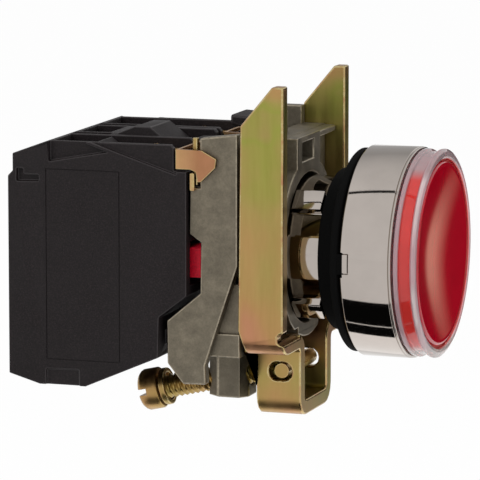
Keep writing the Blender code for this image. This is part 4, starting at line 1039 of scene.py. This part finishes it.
class PUSHBUTTON_OT_neck(bpy.types.Operator):
    """Turn the plated neck with its lugs and ribs"""

    bl_idname = "pushbutton.neck"
    bl_label = "Neck"

    def execute(self, context):
        neck = spin_profile("neck_turned", [
            (-14.3, 7.6), (-14.3, 10.0), (2.8, 10.0), (2.8, 11.4), (3.5, 11.4),
            (3.5, 9.1), (-13.1, 9.1), (-13.1, 7.6), (-14.3, 7.6),
        ], context.scene.pushbutton_sizes.turned_steps)
        for side in (-1, 1):
            low, high = sorted((side * 9.5, side * 11.2))
            lug = box_guide((-14.2, low, -3.0), (-12.7, high, 3.0))
            combine(neck, lug, "UNION")
        for quarter in range(4):
            rib = box_guide((-7.0, 9.5, -1.6), (-2.9, 10.9, 1.6))
            rib.data.transform(Matrix.Rotation(math.radians(45 + 90 * quarter), 4, "X"))
            combine(neck, rib, "UNION")
        turned(neck, "neck", "chrome", "chrome_plate", 0.12, sharp=30.0, soft=30.0)
        return {"FINISHED"}


class PUSHBUTTON_OT_guard(bpy.types.Operator):
    """Turn the clear guard ring with its waist and rounded rim"""

    bl_idname = "pushbutton.guard"
    bl_label = "Guard ring"

    def execute(self, context):
        guard = spin_profile("guard_ring_turned", [
            (5.0, 12.95), (5.0, 13.4), (9.0, 13.4), (9.0, 14.25), (9.55, 14.25), (9.75, 13.85),
            (11.1, 13.85), (11.35, 14.3), (11.65, 14.3), (11.95, 13.85), (12.0, 13.3),
            (11.85, 12.95), (5.0, 12.95),
        ], context.scene.pushbutton_sizes.turned_steps)
        turned(guard, "guard_ring", "clear", "clear_guard", 0.08, 3, sharp=20.0, soft=45.0)
        return {"FINISHED"}


class PUSHBUTTON_OT_lens(bpy.types.Operator):
    """Turn the dished red lens"""

    bl_idname = "pushbutton.lens"
    bl_label = "Lens"

    def execute(self, context):
        sizes = context.scene.pushbutton_sizes
        radius = sizes.lens_radius / MM
        dish_steps, dish_depth, dish_radius = 28, 0.6, 12.3
        front, back, skirt_end, skirt_wall = 11.95, 8.3, 7.1, 1.0
        shares = [step / dish_steps for step in range(dish_steps + 1)]
        dish = [
            (front - dish_depth * (1.0 - share ** 2), dish_radius * share) for share in shares
        ]
        lens = spin_profile("lens_turned", dish + [
            (front - 0.07, dish_radius + 0.2),
            (front - 0.3, radius),
            (skirt_end, radius),
            (skirt_end, radius - skirt_wall),
            (back, radius - skirt_wall),
            (back, 0.0),
        ], sizes.turned_steps)
        turned(lens, "lens", "red_lens", "lens_moulding", 0.08, soft=30.0)
        return {"FINISHED"}


class PUSHBUTTON_OT_collar(bpy.types.Operator):
    """Dress the cast collar, plate its two catches and dress the dowels beside its hooks"""

    bl_idname = "pushbutton.collar"
    bl_label = "Collar"

    def execute(self, context):
        sizes = context.scene.pushbutton_sizes
        collar = dressed(
            "collar", "_cast", "die_cast", sizes.casting_edge,
            "zinc_casting", "zinc_casting_edge_highlight", merge=0.06,
        )
        coat(collar, "zinc_sheet_edge_highlight")
        cheek = 14.12 * MM
        for face in collar.data.polygons:
            if abs(face.center.y) > cheek:
                face.material_index = CATCH_SLOT
        for node in ("near_dowel", "far_dowel"):
            dressed(node, "_pin", "yellow_zinc", 0.08 * MM, "zinc_sheet", "zinc_sheet_edge_highlight")
        return {"FINISHED"}


class PUSHBUTTON_OT_stirrup(bpy.types.Operator):
    """Dress the bent stirrup and its cross pin"""

    bl_idname = "pushbutton.stirrup"
    bl_label = "Stirrup"

    def execute(self, context):
        sizes = context.scene.pushbutton_sizes
        dressed(
            "stirrup", "_bent", "yellow_zinc", sizes.sheet_edge,
            "zinc_sheet", "zinc_sheet_edge_highlight", segments=3, even=True,
        )
        dressed(
            "cross_pin", "_drawn", "yellow_zinc", 0.15 * MM, "zinc_sheet", "zinc_sheet_edge_highlight",
        )
        return {"FINISHED"}


class PUSHBUTTON_OT_clamp_screw(bpy.types.Operator):
    """Turn the clamp screw with its rolled thread and slotted head, and its washer"""

    bl_idname = "pushbutton.clamp_screw"
    bl_label = "Clamp screw"

    def execute(self, context):
        sizes = context.scene.pushbutton_sizes
        pivot, lean = Vector((-9.15, 0.0, -16.4)) * MM, math.radians(-13.0)
        place = Matrix.Translation(pivot) @ Matrix.Rotation(lean, 4, "Y")
        screw = self.make_screw(sizes.thread_pitch / MM, sizes.thread_depth / MM)
        screw.data.transform(place)
        settle(screw, "yellow_zinc", "clamp_screw")
        washer = spin_profile("screw_washer_turned", [
            (-19.8, 1.95), (-19.8, 2.6), (-19.0, 2.6), (-19.0, 1.95), (-19.8, 1.95),
        ], 48)
        washer.data.transform(place)
        coat(washer, "zinc_sheet", "zinc_sheet_edge_highlight")
        round_edges(washer, SMALL_EDGE, 2, edge_slot=EDGE_SLOT)
        smooth(washer)
        settle(washer, "yellow_zinc", "screw_washer")
        return {"FINISHED"}

    @staticmethod
    def make_screw(pitch, depth):
        """Turn a blank along X and roll a thread into its shank."""
        start, end, radius = -19.9, -1.5, 1.75
        rings_per_turn, steepness, tip_length, tip_drop = 10, 1.25, 0.6, 0.5
        count = int((end - start) / pitch * rings_per_turn)
        shank = [(start + (end - start) * step / count, radius) for step in range(count + 1)]
        screw = spin_profile("clamp_screw_rolled", [
            (-22.9, 0.0), (-22.9, 2.45), (-22.6, 2.75), (-22.3, 2.9),
            (-20.35, 2.9), (-20.1, 2.7), (-20.1, radius),
        ] + shank + [(end, 0.0)], 40)
        for vertex in screw.data.vertices:
            x, y, z = vertex.co / MM
            reach = math.hypot(y, z)
            if start - 0.01 <= x and reach > radius / 2:
                turn = math.atan2(z, y) / math.tau
                wave = (x / pitch - turn) % 1.0
                slope = abs(2.0 * wave - 1.0)
                fade = min(1.0, max(0.0, (x - start) / pitch), max(0.0, (end - x) / pitch))
                runout = tip_drop * max(0.0, 1.0 - (end - x) / tip_length)
                wanted = radius - depth * min(1.0, slope * steepness) * fade - runout
                vertex.co.y *= wanted / reach
                vertex.co.z *= wanted / reach
        slot = box_guide((-24.0, -4.0, -0.45), (-21.6, 4.0, 0.45))
        combine(screw, slot)
        coat(screw, "zinc_sheet")
        smooth(screw, 50.0)
        return screw


class PUSHBUTTON_OT_block_shells(bpy.types.Operator):
    """Dress the three blocks' housings and covers"""

    bl_idname = "pushbutton.block_shells"
    bl_label = "Block shells"

    def execute(self, context):
        sizes = context.scene.pushbutton_sizes
        for block in BLOCKS:
            for shell in ("_housing", "_cover"):
                piece = dressed(
                    block + shell, "_moulded", "black_plastic", sizes.moulding_edge,
                    "black_moulding", "black_moulding_edge_highlight", merge=0.12, slide=False, inner=True,
                )
                if shell == "_housing":
                    self.groove_side(piece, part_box(block + shell)[0].y / MM)
        return {"FINISHED"}

    @staticmethod
    def groove_side(piece, side):
        """Cut a shallow rectangular outline into a housing's side."""
        rear, front, bottom, top = -40.4, -29.6, -15.1, 11.4
        width, depth = 0.16, 0.1
        outline = box_guide((rear, side - 1.0, bottom), (front, side + depth, top))
        middle = box_guide(
            (rear + width, side - 2.0, bottom + width), (front - width, side + 1.0, top - width),
        )
        combine(outline, middle)
        combine(piece, outline, use_self=True)


class PUSHBUTTON_OT_hooks(bpy.types.Operator):
    """Dress the contact blocks' sheet hooks and the lamp block's latch"""

    bl_idname = "pushbutton.hooks"
    bl_label = "Hooks and latch"

    def execute(self, context):
        for node in ("nc_hook", "no_hook"):
            dressed(node, "_bent", "yellow_zinc", 0.09 * MM, "zinc_hook", "zinc_sheet_edge_highlight")
        dressed(
            "lamp_latch", "_moulded", "black_plastic", 0.4 * MM,
            "black_moulding", "black_moulding_edge_highlight", segments=4,
        )
        return {"FINISHED"}


class PUSHBUTTON_OT_movers(bpy.types.Operator):
    """Dress the plungers, the bridges, the pusher and its yoke"""

    bl_idname = "pushbutton.movers"
    bl_label = "Plungers and pusher"

    def execute(self, context):
        for node, tone, slot in (
            ("nc_plunger", "red_moulding", "red_plastic"),
            ("no_plunger", "green_moulding", "green_plastic"),
            ("pusher_yoke", "black_moulding", "black_plastic"),
            ("nc_bridge", "copper_bridge", "copper"),
            ("no_bridge", "copper_bridge", "copper"),
        ):
            dressed(node, "_shaped", slot, SMALL_EDGE, tone)
        repaint("pusher", "white_moulding")
        return {"FINISHED"}


class PUSHBUTTON_OT_springs(bpy.types.Operator):
    """Wind the five compression springs, and give each spring with a travel a mesh of its own"""

    bl_idname = "pushbutton.springs"
    bl_label = "Springs"

    def execute(self, context):
        travel = travel_of("button_press")
        squeeze = travel - travel_of("no_bridge_slide")
        for node, wire, turns, shorter, front_fixed in (
            ("return_spring", 0.6, 5, travel, False),
            ("nc_return_spring", 0.4, 5, travel, False),
            ("no_return_spring", 0.4, 5, travel, False),
            ("nc_contact_spring", 0.32, 4, 0.0, False),
            ("no_contact_spring", 0.32, 4, squeeze, True),
        ):
            low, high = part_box(node)
            spring = self.wind(node, low, high, wire * MM, turns)
            settle(spring, "spring_steel", node)
            if shorter:
                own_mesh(spring)
        return {"FINISHED"}

    @staticmethod
    def wind(node, low, high, wire, turns):
        """Wind a wire from a small circle with the Screw modifier."""
        begin()
        centre = (low + high) / 2
        coil = (high.z - low.z) / 2 - wire / 2
        bpy.ops.mesh.primitive_circle_add(
            vertices=12, radius=wire / 2, location=(coil, 0.0, 0.0),
            rotation=(math.pi / 2, 0.0, 0.0),
        )
        spring = named(node + "_wound")
        bpy.ops.object.transform_apply(location=True, rotation=True)
        pitch = (high.x - low.x - wire) / turns
        apply_modifier(
            spring, "SCREW", axis="Z", angle=math.tau, steps=40, render_steps=40,
            screw_offset=pitch, iterations=turns, use_merge_vertices=False,
        )
        edit(spring)
        bpy.ops.mesh.remove_doubles(threshold=TOUCHING)
        bpy.ops.mesh.fill_holes(sides=0)
        bpy.ops.mesh.normals_make_consistent(inside=False)
        bpy.ops.object.mode_set(mode="OBJECT")
        turn = Matrix.Rotation(math.pi / 2, 4, "Y")
        start = Vector((low.x + wire / 2, centre.y, centre.z))
        spring.data.transform(Matrix.Translation(start) @ turn)
        coat(spring, "bright_steel")
        smooth(spring, 60.0)
        return spring


class PUSHBUTTON_OT_terminals(bpy.types.Operator):
    """Dress the terminal screws, saddles and contact strips"""

    bl_idname = "pushbutton.terminals"
    bl_label = "Terminals"

    def execute(self, context):
        for block in BLOCKS:
            for place in ("_upper", "_lower"):
                for part, tone, slot in (
                    ("_screw", "bright_steel", "spring_steel"),
                    ("_saddle", "zinc_sheet", "yellow_zinc"),
                    ("_contact", "brass_strip", "brass"),
                ):
                    dressed(block + place + part, "_made", slot, SMALL_EDGE, tone)
        return {"FINISHED"}


class PUSHBUTTON_OT_lamp(bpy.types.Operator):
    """Finish the lamp and its board"""

    bl_idname = "pushbutton.lamp"
    bl_label = "Lamp"

    def execute(self, context):
        repaint("lamp", "lamp_glass")
        repaint("lamp_board", "board_laminate")
        return {"FINISHED"}


class PUSHBUTTON_PT_panel(bpy.types.Panel):
    """Lists the pieces of the push button"""

    bl_idname = "PUSHBUTTON_PT_panel"
    bl_label = "Push button"
    bl_space_type = "VIEW_3D"
    bl_region_type = "UI"
    bl_category = "Push button"

    def draw(self, context):
        for operator in OPERATORS:
            self.layout.operator(operator.bl_idname)
        for key, group in GROUPS.items():
            for entry in group.__annotations__:
                self.layout.prop(getattr(context.scene, key), entry)


GROUPS = {
    "pushbutton_sizes": PUSHBUTTON_PG_sizes,
    "pushbutton_finishes": PUSHBUTTON_PG_finishes,
    "pushbutton_stage": PUSHBUTTON_PG_stage,
}
OPERATORS = (
    PUSHBUTTON_OT_stage,
    PUSHBUTTON_OT_bezel,
    PUSHBUTTON_OT_seals,
    PUSHBUTTON_OT_neck,
    PUSHBUTTON_OT_guard,
    PUSHBUTTON_OT_lens,
    PUSHBUTTON_OT_collar,
    PUSHBUTTON_OT_stirrup,
    PUSHBUTTON_OT_clamp_screw,
    PUSHBUTTON_OT_block_shells,
    PUSHBUTTON_OT_hooks,
    PUSHBUTTON_OT_movers,
    PUSHBUTTON_OT_springs,
    PUSHBUTTON_OT_terminals,
    PUSHBUTTON_OT_lamp,
)


def register():
    """Register the property groups, the operators and the panel."""
    for key, group in GROUPS.items():
        bpy.utils.register_class(group)
        setattr(bpy.types.Scene, key, PointerProperty(type=group))
    for operator in OPERATORS:
        bpy.utils.register_class(operator)
    bpy.utils.register_class(PUSHBUTTON_PT_panel)


def unregister():
    """Take everything out of Blender again."""
    bpy.utils.unregister_class(PUSHBUTTON_PT_panel)
    for operator in reversed(OPERATORS):
        bpy.utils.unregister_class(operator)
    for key, group in GROUPS.items():
        delattr(bpy.types.Scene, key)
        bpy.utils.unregister_class(group)


def main():
    """Make every piece and the stage."""
    register()
    for operator in OPERATORS:
        module, name = operator.bl_idname.split(".")
        getattr(getattr(bpy.ops, module), name)()
    begin()


if __name__ == "__main__":
    main()
